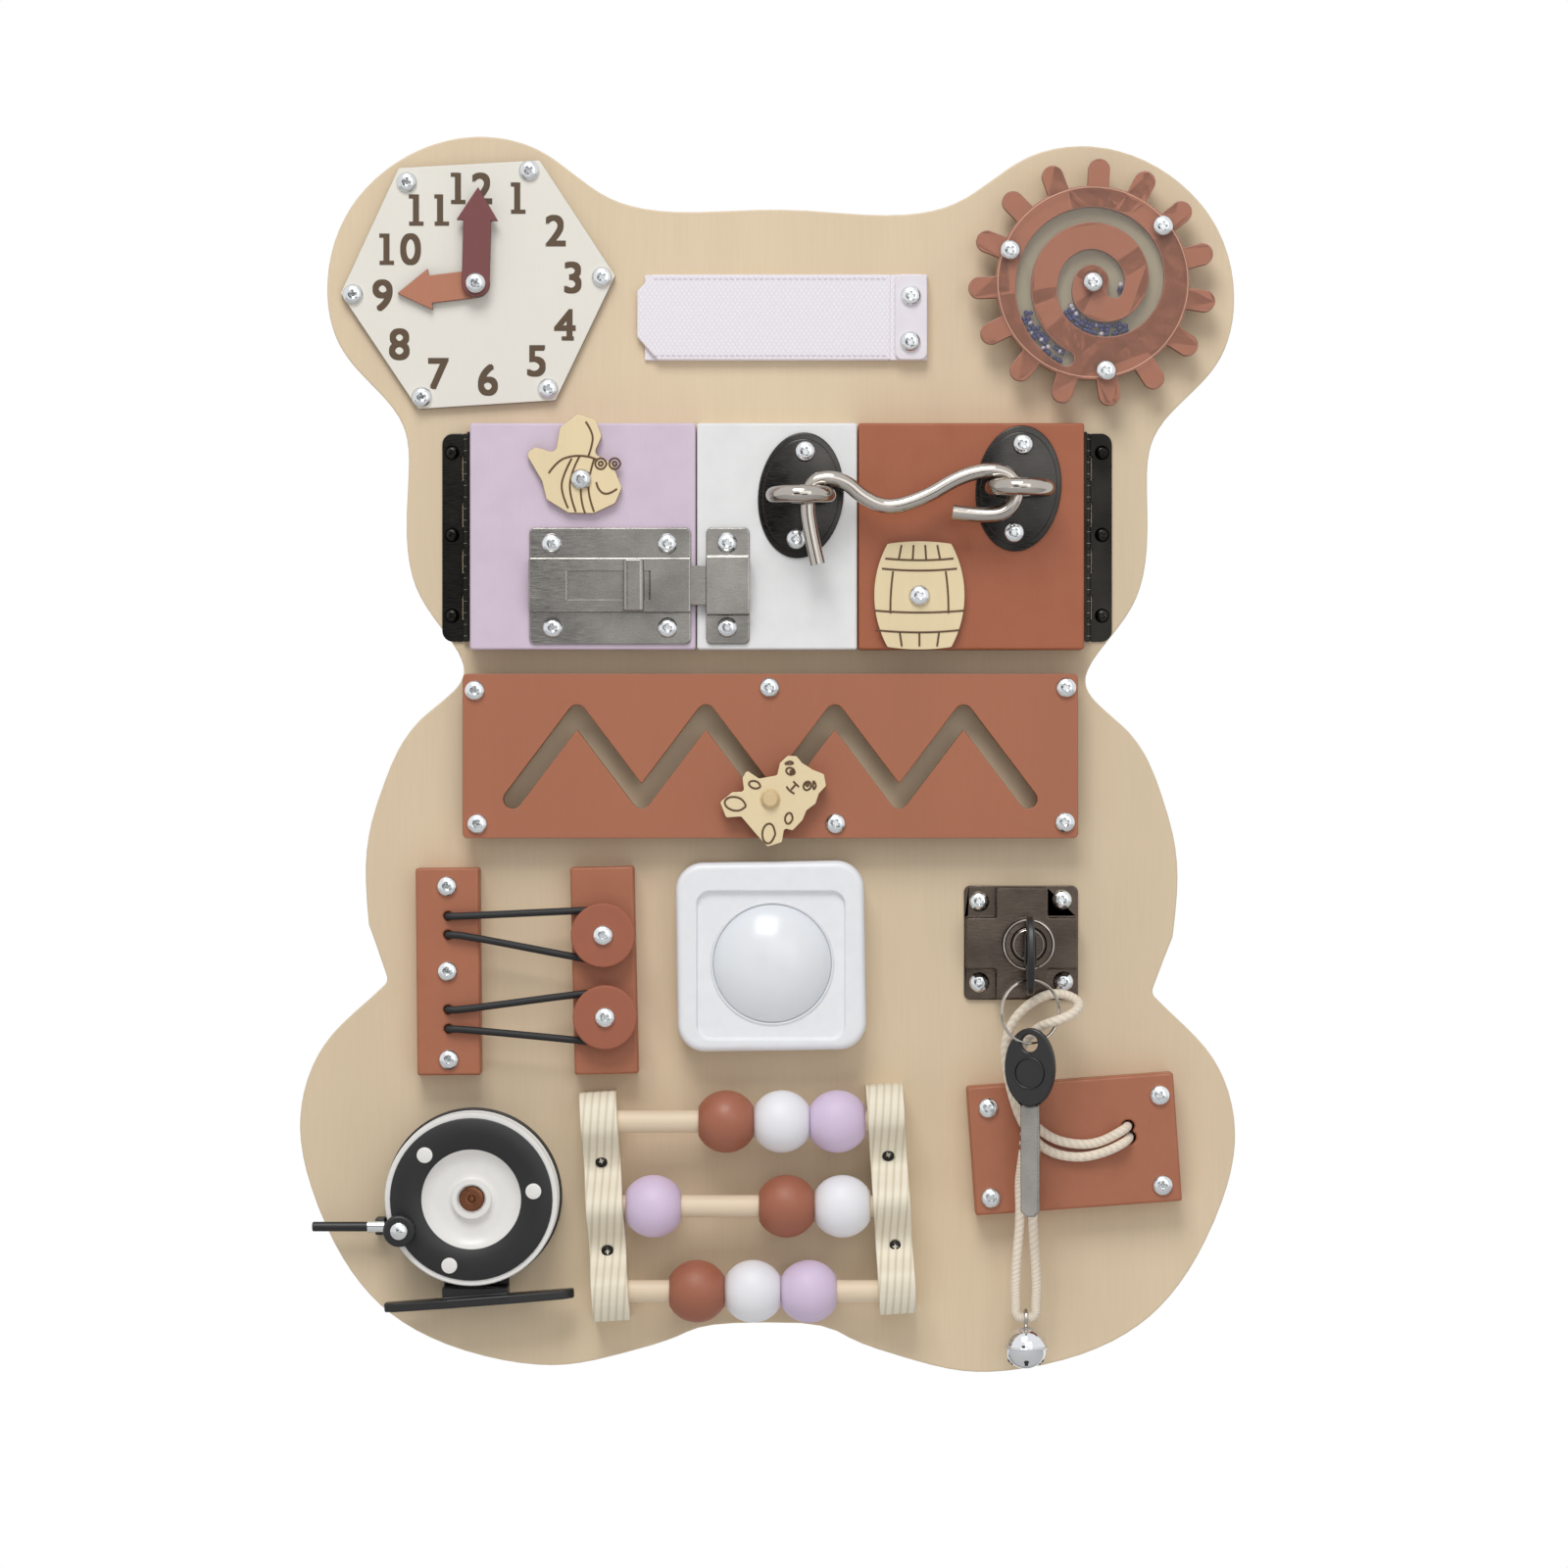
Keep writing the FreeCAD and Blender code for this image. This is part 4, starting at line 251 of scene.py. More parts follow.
def scorch_group():
    """Laser-cut edges: sides that don't face the front are burnt dark."""
    name = "Scorched edge"
    if name in bpy.data.node_groups:
        return bpy.data.node_groups[name]
    tree, given, made = group(name, [("Normal", "Vector", None), ("Face", "Color", (1, 1, 1, 1)),
                                     ("Scorch", "Color", (0.1, 0.05, 0.02, 1))], [("Color", "Color")])
    split = tree.nodes.new("ShaderNodeSeparateXYZ")
    tree.links.new(given.outputs["Normal"], split.inputs[0])
    flat = tree.nodes.new("ShaderNodeMath")
    flat.operation = "ABSOLUTE"
    tree.links.new(split.outputs["Y"], flat.inputs[0])
    side = ranged(tree, flat.outputs[0], 0.35, 0.8, 1.0, 0.0)
    tree.links.new(mixed(tree, side, given.outputs["Face"], given.outputs["Scorch"]), made.inputs["Color"])
    return tree


def mottle_group():
    """Small unevenness of paint, plastic or cloth."""
    name = "Mottle"
    if name in bpy.data.node_groups:
        return bpy.data.node_groups[name]
    tree, given, made = group(name, [("Vector", "Vector", None), ("Color", "Color", (1, 1, 1, 1)),
                                     ("Darker", "Color", (0.8, 0.8, 0.8, 1)), ("Grain Size", "Float", 60.0)],
                              [("Color", "Color"), ("Height", "Float"), ("Roughness", "Float")])
    noise = tree.nodes.new("ShaderNodeTexNoise")
    noise.inputs["Detail"].default_value = 6
    tree.links.new(given.outputs["Vector"], noise.inputs["Vector"])
    tree.links.new(given.outputs["Grain Size"], noise.inputs["Scale"])
    tree.links.new(mixed(tree, ranged(tree, noise.outputs["Fac"], 0.35, 0.75, 0, 1), given.outputs["Color"],
                         given.outputs["Darker"]), made.inputs["Color"])
    tree.links.new(noise.outputs["Fac"], made.inputs["Height"])
    tree.links.new(ranged(tree, noise.outputs["Fac"], 0.3, 0.7, 0.38, 0.6), made.inputs["Roughness"])
    return tree


def brushed_group():
    """Brushed or worn metal: fine streaks that change its gloss."""
    name = "Brushed metal"
    if name in bpy.data.node_groups:
        return bpy.data.node_groups[name]
    tree, given, made = group(name, [("Vector", "Vector", None), ("Metal", "Color", (1, 1, 1, 1)),
                                     ("Shade", "Color", (0.5, 0.5, 0.5, 1)), ("Smooth", "Float", 0.15),
                                     ("Rough", "Float", 0.4)],
                              [("Color", "Color"), ("Roughness", "Float"), ("Height", "Float")])
    streaks = stretched_noise(tree, given.outputs["Vector"], 260, 4, (1.0, 6.0, 14.0))
    clouds = stretched_noise(tree, given.outputs["Vector"], 45, 3, (1.0, 1.0, 1.0))
    tree.links.new(mixed(tree, ranged(tree, clouds, 0.35, 0.7, 0, 1), given.outputs["Metal"],
                         given.outputs["Shade"]), made.inputs["Color"])
    rough = tree.nodes.new("ShaderNodeMapRange")
    tree.links.new(streaks, rough.inputs["Value"])
    rough.inputs["From Min"].default_value = 0.3
    rough.inputs["From Max"].default_value = 0.7
    tree.links.new(given.outputs["Smooth"], rough.inputs["To Min"])
    tree.links.new(given.outputs["Rough"], rough.inputs["To Max"])
    tree.links.new(rough.outputs["Result"], made.inputs["Roughness"])
    tree.links.new(streaks, made.inputs["Height"])
    return tree


# ---- materials ----

class Finish:
    """A material with its shader, ready for textures."""

    def __init__(self, name, **values):
        self.material = bpy.data.materials.new(name)
        self.material.use_nodes = True
        self.tree = self.material.node_tree
        self.shader = self.tree.nodes["Principled BSDF"]
        for label, value in values.items():
            self.shader.inputs[label.replace("_", " ")].default_value = value
        self.place = self.tree.nodes.new("ShaderNodeTexCoord")

    def put(self, tree, **values):
        """A group in this material with its own values."""
        node = self.tree.nodes.new("ShaderNodeGroup")
        node.node_tree = tree
        for label, value in values.items():
            label = label.replace("_", " ")
            if isinstance(value, bpy.types.NodeSocket):
                self.tree.links.new(value, node.inputs[label])
            else:
                node.inputs[label].default_value = value
        if "Vector" in node.inputs and not node.inputs["Vector"].is_linked:
            self.tree.links.new(self.place.outputs["Object"], node.inputs["Vector"])
        if "Normal" in node.inputs:
            self.tree.links.new(self.place.outputs["Normal"], node.inputs["Normal"])
        return node.outputs

    def set(self, label, socket):
        self.tree.links.new(socket, self.shader.inputs[label])
        return self

    def bump(self, height, distance, strength=1.0):
        """Relief from a height, in metres."""
        node = self.tree.nodes.new("ShaderNodeBump")
        node.inputs["Distance"].default_value = distance
        node.inputs["Strength"].default_value = strength
        self.tree.links.new(height, node.inputs["Height"])
        return self.set("Normal", node.outputs["Normal"])

    def turned(self, rotation=(0, 0, 0), scale=(1, 1, 1), source="Object"):
        """The piece's own coordinates, turned and scaled."""
        node = self.tree.nodes.new("ShaderNodeMapping")
        node.inputs["Rotation"].default_value = rotation
        node.inputs["Scale"].default_value = scale
        self.tree.links.new(self.place.outputs[source], node.inputs["Vector"])
        return node.outputs["Vector"]


def known(name):
    """A finish that has been made already."""
    found = bpy.data.materials.get(name)
    return found


def darker(shade, share):
    return tuple(c * share for c in shade[:3]) + (1.0,)


def wood(name, shade, strength=0.35, scorch=None, rough=0.5, turn=(0, 0, 0)):
    """Lacquered or stained plywood, with burnt edges where a laser cut it."""
    if known(name):
        return known(name)
    shade = tuple(shade)
    finish = Finish(name, Roughness=rough)
    grain = finish.put(grain_group(), Vector=finish.turned(turn), Wood=shade, Grain=darker(shade, 0.62),
                       Strength=strength)
    base = grain["Color"]
    if scorch:
        base = finish.put(scorch_group(), Face=base, Scorch=scorch)["Color"]
    finish.set("Base Color", base).bump(grain["Height"], 0.00006, 0.5)
    return finish.material


def paint(name, shade, rough=0.45, coarse=90.0):
    """Satin paint on wood, slightly uneven."""
    if known(name):
        return known(name)
    shade = tuple(shade)
    finish = Finish(name, Roughness=rough)
    mottle = finish.put(mottle_group(), Color=shade, Darker=darker(shade, 0.93), Grain_Size=coarse)
    fibres = finish.put(grain_group(), Wood=(1, 1, 1, 1), Grain=(0, 0, 0, 1), Strength=1.0)
    finish.set("Base Color", mottle["Color"]).set("Roughness", mottle["Roughness"])
    finish.bump(fibres["Height"], 0.00008, 0.6)
    return finish.material


def metal(name, shade, smooth, rough, shadow=0.7, relief=0.00001):
    """Plated, brushed or lacquered metal."""
    if known(name):
        return known(name)
    finish = Finish(name, Metallic=1.0)
    brushed = finish.put(brushed_group(), Metal=shade, Shade=darker(shade, shadow), Smooth=smooth,
                         Rough=rough)
    finish.set("Base Color", brushed["Color"]).set("Roughness", brushed["Roughness"])
    finish.bump(brushed["Height"], relief, 0.4)
    return finish.material


def plastic(name, shade, rough=0.35, darker_share=0.96, coarse=200.0, **values):
    """Moulded plastic with a faint surface texture."""
    if known(name):
        return known(name)
    finish = Finish(name, Roughness=rough, **values)
    mottle = finish.put(mottle_group(), Color=shade, Darker=darker(shade, darker_share), Grain_Size=coarse)
    finish.set("Base Color", mottle["Color"]).bump(mottle["Height"], 0.00001, 0.3)
    return finish.material


def scorched():
    return wood("burnt wood", tint(96, 66, 38), 0.5)


def zinc():
    return metal("bright zinc", tint(225, 228, 230), 0.08, 0.28, 0.85)


def steel():
    return metal("brushed stainless", tint(160, 157, 152), 0.1, 0.32, 0.62, 0.00002)


def chrome():
    return metal("polished nickel", tint(184, 178, 171), 0.05, 0.16, 0.85)


def black_metal():
    return metal("black lacquered iron", tint(52, 51, 48), 0.16, 0.36, 0.5)


def bronze():
    return metal("dark bronzed zinc", tint(96, 86, 78), 0.1, 0.34, 0.5, 0.00002)


def webbing():
    """Hook-and-loop tape: a tight diagonal weave."""
    if known("hook-and-loop webbing"):
        return known("hook-and-loop webbing")
    finish = Finish("hook-and-loop webbing", Roughness=0.85, Sheen_Weight=0.3)
    threads = []
    for lean in (0.6, -0.6):
        wave = finish.tree.nodes.new("ShaderNodeTexWave")
        wave.inputs["Scale"].default_value = 230
        wave.inputs["Distortion"].default_value = 0.4
        finish.tree.links.new(finish.turned((0, lean, 0)), wave.inputs["Vector"])
        threads.append(wave.outputs["Fac"])
    weave = finish.tree.nodes.new("ShaderNodeMath")
    weave.operation = "MULTIPLY"
    for thread, socket in zip(threads, weave.inputs):
        finish.tree.links.new(thread, socket)
    shade = mixed(finish.tree, weave.outputs[0], tint(233, 227, 234), tint(246, 242, 245))
    finish.set("Base Color", shade).bump(weave.outputs[0], 0.00015, 0.5)
    return finish.material


def cotton():
    """Twisted cotton: strands that wind round the cord."""
    if known("twisted cotton"):
        return known("twisted cotton")
    shade = tuple(colours().cotton)
    finish = Finish("twisted cotton", Roughness=0.9, Sheen_Weight=0.4)
    winding = finish.turned((0, 0, 0.62), (62.0, 2.4, 1.0), "UV")
    wave = finish.tree.nodes.new("ShaderNodeTexWave")
    wave.inputs["Scale"].default_value = 0.55
    wave.inputs["Distortion"].default_value = 1.2
    wave.inputs["Detail"].default_value = 2
    finish.tree.links.new(winding, wave.inputs["Vector"])
    mix = mixed(finish.tree, wave.outputs["Fac"], darker(shade, 0.86), shade)
    finish.set("Base Color", mix).bump(wave.outputs["Fac"], 0.0002, 0.7)
    return finish.material


def layered(name, turn):
    """Plywood seen on edge: thin light and dark layers."""
    if known(name):
        return known(name)
    finish = Finish(name, Roughness=0.55)
    wave = finish.tree.nodes.new("ShaderNodeTexWave")
    wave.bands_direction = "X"
    wave.inputs["Scale"].default_value = 118
    wave.inputs["Distortion"].default_value = 0.12
    wave.inputs["Detail"].default_value = 2
    wave.inputs["Detail Scale"].default_value = 0.6
    place = finish.turned((0, turn, 0))
    finish.tree.links.new(place, wave.inputs["Vector"])
    base = tuple(colours().birch)
    layers = mixed(finish.tree, ranged(finish.tree, wave.outputs["Fac"], 0.55, 0.95, 0.0, 0.8),
                   tint(244, 236, 216), tint(214, 203, 174))
    grain = finish.put(grain_group(), Vector=finish.turned((0, math.pi / 2, 0)), Wood=layers,
                       Grain=darker(base, 0.6), Strength=0.25)
    finish.set("Base Color", grain["Color"]).bump(grain["Height"], 0.00008, 0.5)
    return finish.material


def clear():
    """Clear acrylic."""
    if known("clear acrylic"):
        return known("clear acrylic")
    finish = Finish("clear acrylic", Roughness=0.03, Alpha=0.05)
    lines = finish.put(scorch_group(), Face=tint(236, 230, 226), Scorch=tint(206, 160, 140))
    finish.set("Base Color", lines["Color"])
    return finish.material


# ---- making pieces ----

def piece(bm, name, body, material, replaces=(), smooth=35):
    """A finished mesh as an object that rides on a body."""
    bmesh.ops.recalc_face_normals(bm, faces=bm.faces)
    mesh = bpy.data.meshes.new(name)
    bm.to_mesh(mesh)
    bm.free()
    thing = bpy.data.objects.new(name, mesh)
    bpy.context.scene.collection.objects.link(thing)
    for item in material if isinstance(material, (list, tuple)) else [material]:
        mesh.materials.append(item)
    mesh.shade_smooth()
    mesh.set_sharp_from_angle(angle=math.radians(smooth))
    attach(thing, body)
    if replaces:
        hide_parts(*replaces)
    return thing


def softened(node, material, width, segments=2, angle=38, name=None, mend=None):
    """A CAD node's own form with its sharp edges softened, in its finish; mend repairs it first."""
    bm = bmesh.new()
    bm.from_mesh(NODES[node].data)
    bmesh.ops.remove_doubles(bm, verts=bm.verts, dist=ONE_POINT)
    if mend:
        mend(bm)
    bm.normal_update()
    level = [edge for edge in bm.edges if all(abs(face.normal.y) > LEVEL for face in edge.link_faces)]
    bmesh.ops.dissolve_limit(bm, angle_limit=math.radians(0.6), verts=[], edges=level)
    bmesh.ops.dissolve_limit(bm, angle_limit=math.radians(0.05), verts=[], edges=bm.edges)
    thing = piece(bm, name or node + "_finished", BODY_OF[node], material, (node,))
    for face in thing.data.polygons:
        face.use_smooth = abs(face.normal.y) < LEVEL
    bevel = thing.modifiers.new("Softened edges", "BEVEL")
    bevel.width = width
    bevel.segments = segments
    bevel.profile = 0.5
    bevel.limit_method = "ANGLE"
    bevel.angle_limit = math.radians(angle)
    bevel.use_clamp_overlap = False
    flat = thing.modifiers.new("Flat faces", "WEIGHTED_NORMAL")
    flat.keep_sharp = True
    flat.weight = 80
    return thing


def lathe(bm, profile, x, z, steps=48):
    """Turn a profile of (radius, out) about the line that stands out of the wall at x, z."""
    verts = [bm.verts.new(at(x + radius, out, z)) for radius, out in profile]
    edges = [bm.edges.new(pair) for pair in zip(verts, verts[1:])]
    bmesh.ops.spin(bm, geom=verts + edges, cent=at(x, 0, z), axis=(0, 1, 0), dvec=(0, 0, 0),
                   angle=math.tau, steps=steps, use_merge=True, use_duplicate=False)
    bmesh.ops.remove_doubles(bm, verts=bm.verts, dist=1e-6)


def turned_along(bm, profile, x, out, z, steps=40):
    """Turn a profile of (radius, along) about a line that runs to the right."""
    verts = [bm.verts.new(at(x + along, out, z + radius)) for radius, along in profile]
    edges = [bm.edges.new(pair) for pair in zip(verts, verts[1:] + verts[:1])]
    bmesh.ops.spin(bm, geom=verts + edges, cent=at(x, out, z), axis=(1, 0, 0), dvec=(0, 0, 0),
                   angle=math.tau, steps=steps, use_merge=True, use_duplicate=False)
    bmesh.ops.remove_doubles(bm, verts=bm.verts, dist=1e-6)


def ring(bm, centre, radius, wire, axis, across, steps=48, sides=14):
    """A round ring: a circle of wire spun about its centre."""
    axis, across = Vector(axis).normalized(), Vector(across).normalized()
    frame_of = Matrix((across, axis.cross(across), axis)).transposed().to_4x4()
    around = Matrix.Rotation(math.pi / 2, 4, "X")
    spot = Matrix.Translation(centre) @ frame_of @ Matrix.Translation((radius / 1000, 0, 0)) @ around
    made = bmesh.ops.create_circle(bm, segments=sides, radius=wire / 1000, matrix=spot)
    edges = list({edge for vert in made["verts"] for edge in vert.link_edges})
    bmesh.ops.spin(bm, geom=made["verts"] + edges, cent=centre, axis=axis, dvec=(0, 0, 0), angle=math.tau,
                   steps=steps, use_merge=True, use_duplicate=False)
    bmesh.ops.remove_doubles(bm, verts=bm.verts, dist=1e-6)


def wire(name, runs, diameter, body, material, order=3, cyclic=False, sides=4):
    """Round wire or cord along smooth lines; each run is its control points in metres."""
    curve = bpy.data.curves.new(name, "CURVE")
    curve.dimensions = "3D"
    curve.bevel_depth = diameter / 2
    curve.bevel_resolution = sides
    curve.resolution_u = 8
    curve.use_fill_caps = True
    for points in runs:
        spline = curve.splines.new("NURBS")
        spline.points.add(len(points) - 1)
        for point, spot in zip(spline.points, points):
            point.co = (*spot, 1.0)
        spline.use_cyclic_u = cyclic
        spline.order_u = min(order, len(points))
        spline.use_endpoint_u = not cyclic
    thing = bpy.data.objects.new(name, curve)
    bpy.context.scene.collection.objects.link(thing)
    curve.materials.append(material)
    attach(thing, body)
    return thing


def burnt_lines(name, strokes, pivot, out, body):
    """Lines burnt in a wooden figure's face; each stroke is (x, z) points from its pivot."""
    runs = [[at(pivot[0] + x, out, pivot[1] + z) for x, z in stroke] for stroke in strokes]
    drawn = wire(name + " drawn", runs, sizes().burn * 1.6, body, scorched(), sides=2)
    drawn.data.resolution_u = 6
    shape = bpy.data.meshes.new_from_object(drawn.evaluated_get(bpy.context.evaluated_depsgraph_get()))
    bm = bmesh.new()
    bm.from_mesh(shape)
    bpy.data.objects.remove(drawn)
    bpy.data.meshes.remove(shape)
    return piece(bm, name, body, scorched(), (), 60)


def islands(node):
    """Each separate solid of a node: the middle of its box, seen from the front, and its front."""
    bm = bmesh.new()
    bm.from_mesh(NODES[node].data)
    bmesh.ops.remove_doubles(bm, verts=bm.verts, dist=ONE_POINT)
    left, found = set(bm.verts), []
    while left:
        reached, edge_of = set(), [left.pop()]
        while edge_of:
            vert = edge_of.pop()
            reached.add(vert)
            for edge in vert.link_edges:
                other = edge.other_vert(vert)
                if other in left:
                    left.discard(other)
                    edge_of.append(other)
        xs, ys, zs = zip(*(vert.co for vert in reached))
        found.append(((min(xs) + max(xs)) * 500, -min(ys) * 1000, (min(zs) + max(zs)) * 500))
    bm.free()
    return sorted(found)


def screw_master(radius, high):
    """One pan-head screw with a cross recess, its head's front at the origin."""
    bm = bmesh.new()
    dome = [(0, 0), (radius * 0.5, -0.1), (radius * 0.74, -0.42), (radius * 0.92, -1.0), (radius,
                                                                                          -high * 0.72),
            (radius, -high), (radius * 0.45, -high), (0, -high)]
    lathe(bm, dome, 0, 0, 28)
    head = bpy.data.meshes.new("screw head")
    bm.to_mesh(head)
    bm.free()
    cutter = bmesh.new()
    for turn, long, wide in ((0, 1.16, 0.3), (90, 1.16, 0.3), (45, 0.62, 0.13), (135, 0.62, 0.13)):
        made = bmesh.ops.create_cube(cutter, size=1.0)
        bmesh.ops.scale(cutter, vec=(radius * long / 1000, 0.0022, radius * wide / 1000), verts=made["verts"])
        deep = [vert for vert in made["verts"] if vert.co.y > 0]
        bmesh.ops.scale(cutter, vec=(0.45, 1, 0.7), verts=deep)
        bmesh.ops.rotate(cutter, cent=(0, 0, 0), matrix=Matrix.Rotation(math.radians(turn), 3, "Y"),
                         verts=made["verts"])
    bmesh.ops.translate(cutter, vec=(0, 0.0002, 0), verts=cutter.verts)
    tool = bpy.data.meshes.new("screw driver")
    cutter.to_mesh(tool)
    cutter.free()
    solid = bpy.data.objects.new("screw solid", head)
    bit = bpy.data.objects.new("screw bit", tool)
    for thing in (solid, bit):
        bpy.context.scene.collection.objects.link(thing)
    cut = solid.modifiers.new("Recess", "BOOLEAN")
    cut.object = bit
    cut.operation = "DIFFERENCE"
    cut.solver = "EXACT"
    cut.use_self = True
    bpy.context.view_layer.update()
    seen = solid.evaluated_get(bpy.context.evaluated_depsgraph_get())
    made = bpy.data.meshes.new_from_object(seen)
    for thing in (solid, bit):
        bpy.data.objects.remove(thing)
    return made


def place_screws(node, master, material, chance):
    """Detailed screws in each place where a node has one."""
    bm = bmesh.new()
    for x, out, z in islands(node):
        start = len(bm.verts)
        bm.from_mesh(master)
        bm.verts.ensure_lookup_table()
        turn = Matrix.Rotation(chance.uniform(0, math.pi), 3, "Y")
        fresh = bm.verts[start:]
        bmesh.ops.rotate(bm, cent=(0, 0, 0), matrix=turn, verts=fresh)
        bmesh.ops.translate(bm, vec=at(x, out, z), verts=fresh)
    return piece(bm, node + "_finished", BODY_OF[node], material, (node,), 30)


# ---- the board's pieces ----

def make_stage():
    """The camera where the photograph was taken, soft lamps, a white room, and a dark sheet that paints dark
    reflections.
    """
    camera = bpy.data.cameras.new("Camera")
    camera.lens = 18 / math.tan(math.radians(16.16 / 2))
    camera.sensor_width = 36
    camera.clip_end = 20
    eye = bpy.data.objects.new("Camera", camera)
    eye.location = (0.006, -2.0, -0.0106)
    eye.rotation_euler = Euler((math.pi / 2, 0, 0))
    scene = bpy.context.scene
    scene.collection.objects.link(eye)
    scene.camera = eye
    scene.view_settings.view_transform = "Standard"
    for name, spot, across, power, aim in (
            ("Key lamp", (-0.25, -1.4, 1.6), 1.0, 25.0, (0, 0, 0)),
            ("Fill lamp", (0.6, -2.2, 0.5), 1.6, 9.0, (0, 0, 0)),
            ("Low lamp", (-0.5, -2.0, -0.9), 1.4, 3.5, (0, 0, -0.05))):
        lamp = bpy.data.lights.new(name, "AREA")
        lamp.shape = "SQUARE"
        lamp.size = across
        lamp.energy = power
        shining = bpy.data.objects.new(name, lamp)
        shining.location = spot
        shining.rotation_euler = (Vector(aim) - Vector(spot)).to_track_quat("-Z", "Y").to_euler()
        scene.collection.objects.link(shining)
    scene.world = room()
    # The dark sheet is a painted reflection: only glossy rays see it.
    for name, centre, turn, wide, deep, material in (
            ("Floor", (0, -0.44, -0.325), (0, 0, 0), 1.3, 0.59, floor_finish()),
            ("Dark reflection card", (0, -3.6, -0.2), (math.pi / 2, 0, 0), 1.5, 1.0, dark_reflection_card())):
        bm = bmesh.new()
        spot = Matrix.Translation(centre) @ Euler(turn).to_matrix().to_4x4()
        corners = bmesh.ops.create_grid(bm, x_segments=1, y_segments=1, size=1.0)["verts"]
        bmesh.ops.scale(bm, vec=(wide, deep, 1), verts=corners)
        bmesh.ops.transform(bm, matrix=spot, verts=corners)
        mesh = bpy.data.meshes.new(name)
        bm.to_mesh(mesh)
        bm.free()
        sheet = bpy.data.objects.new(name, mesh)
        scene.collection.objects.link(sheet)
        mesh.materials.append(material)


def any_ray(tree, *kinds):
    """One when the ray is of one of these kinds."""
    rays = tree.nodes.new("ShaderNodeLightPath")
    found = rays.outputs[kinds[0]]
    for kind in kinds[1:]:
        most = tree.nodes.new("ShaderNodeMath")
        most.operation = "MAXIMUM"
        tree.links.new(found, most.inputs[0])
        tree.links.new(rays.outputs[kind], most.inputs[1])
        found = most.outputs[0]
    return found


def room():
    """White to the camera, to gloss and to glass, and a soft even light on what is matt."""
    world = bpy.data.worlds.new("Room")
    world.use_nodes = True
    tree = world.node_tree
    sky = tree.nodes["Background"]
    sky.inputs["Color"].default_value = (1, 1, 1, 1)
    seen = any_ray(tree, "Is Camera Ray", "Is Glossy Ray", "Is Transmission Ray")
    tree.links.new(ranged(tree, seen, 0, 1, ROOM_LIGHT, 1.0), sky.inputs["Strength"])
    return world


def floor_finish():
    """A pale matt floor that keeps the board's shadow."""
    finish = Finish("pale floor", Roughness=0.9)
    mottle = finish.put(mottle_group(), Color=tint(240, 240, 240), Darker=tint(236, 236, 236),
                        Grain_Size=30.0)
    return finish.set("Base Color", mottle["Color"]).material


def dark_reflection_card():
    """A dark sheet behind the camera that only gloss shows: it paints dark reflections, and the camera and all
    other light pass through it.
    """
    material = bpy.data.materials.new("dark reflection card")
    material.use_nodes = True
    tree = material.node_tree
    tree.nodes.clear()
    out = tree.nodes.new("ShaderNodeOutputMaterial")
    clear_air = tree.nodes.new("ShaderNodeBsdfTransparent")
    dark = tree.nodes.new("ShaderNodeEmission")
    dark.inputs["Color"].default_value = (0.09, 0.088, 0.085, 1)
    mix = tree.nodes.new("ShaderNodeMixShader")
    tree.links.new(any_ray(tree, "Is Glossy Ray"), mix.inputs[0])
    tree.links.new(clear_air.outputs[0], mix.inputs[1])
    tree.links.new(dark.outputs[0], mix.inputs[2])
    tree.links.new(mix.outputs[0], out.inputs["Surface"])
    return material


def make_cords():
    """The cotton cord that loops through the key ring, the knot on it and the bell's cord."""
    thick = sizes().cord
    key = wire("key_cord", [[at(*spot) for spot in KEY_CORD]], thick, "busy_board", cotton())
    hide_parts("cotton_cords")
    bell = wire("bell_cord", [[at(*spot) for spot in BELL_CORD]], thick, "bell", cotton())
    bm = bmesh.new()
    middle = at(93.3, 30.4, -137.6)
    for drop, lean, across in ((1.5, 0.35, 2.1), (-0.6, -0.25, 2.3), (-2.2, 0.2, 1.9)):
        ring(bm, middle + at(0, 0, drop), across, 1.25, (lean, 0.2, 1), (1, 0, -lean), 20, 8)
    piece(bm, "cord_knot", "busy_board", cotton())


def mend_seat(bm):
    """Give the gap between the legs its plain arch, where the solid's outline folds back on itself."""
    for normal, place in (((1, 0, 0), at(-SEAT_REACH, 0, 0)), ((1, 0, 0), at(SEAT_REACH, 0, 0)),
                          ((0, 0, 1), at(0, 0, SEAT_TOP))):
        everything = list(bm.verts) + list(bm.edges) + list(bm.faces)
        bmesh.ops.bisect_plane(bm, geom=everything, dist=1e-7, plane_co=place, plane_no=normal)
    reach, top = at(SEAT_REACH, 0, 0).x, at(0, 0, SEAT_TOP).z
    folded = [face for face in bm.faces
              if abs(face.calc_center_median().x) < reach and face.calc_center_median().z < top]
    bmesh.ops.delete(bm, geom=folded, context="FACES")
    cut = [vert for vert in bm.verts if (abs(abs(vert.co.x) - reach) < ON_CUT and vert.co.z < top + ON_CUT)
           or (abs(vert.co.z - top) < ON_CUT and abs(vert.co.x) < reach)]

    def along(vert):
        if abs(vert.co.x + reach) < ON_CUT:
            return 0, vert.co.z
        return (2, -vert.co.z) if abs(vert.co.x - reach) < ON_CUT else (1, vert.co.x)

    arches = []
    front, back = min(vert.co.y for vert in cut), max(vert.co.y for vert in cut)
    for out in (front, back):
        rim = sorted((vert for vert in cut if abs(vert.co.y - out) < ON_CUT), key=along)
        arch = [bm.verts.new((at(x, 0, z).x, out, at(x, 0, z).z)) for x, z in SEAT_ARCH]
        bm.faces.new(rim + arch)
        arches.append([rim[-1]] + arch + [rim[0]])
    wall = sorted((vert for vert in cut if front + ON_CUT < vert.co.y < back - ON_CUT),
                  key=lambda vert: vert.co.y)
    strips = list(zip(zip(arches[0], arches[0][1:]), zip(arches[1], arches[1][1:])))
    for strip, (near, far) in enumerate(strips):
        left = [vert for vert in wall if vert.co.x < 0] if strip == len(strips) - 1 else []
        right = [vert for vert in reversed(wall) if vert.co.x > 0] if strip == 0 else []
        bm.faces.new([near[0], near[1], *left, far[1], far[0], *right])


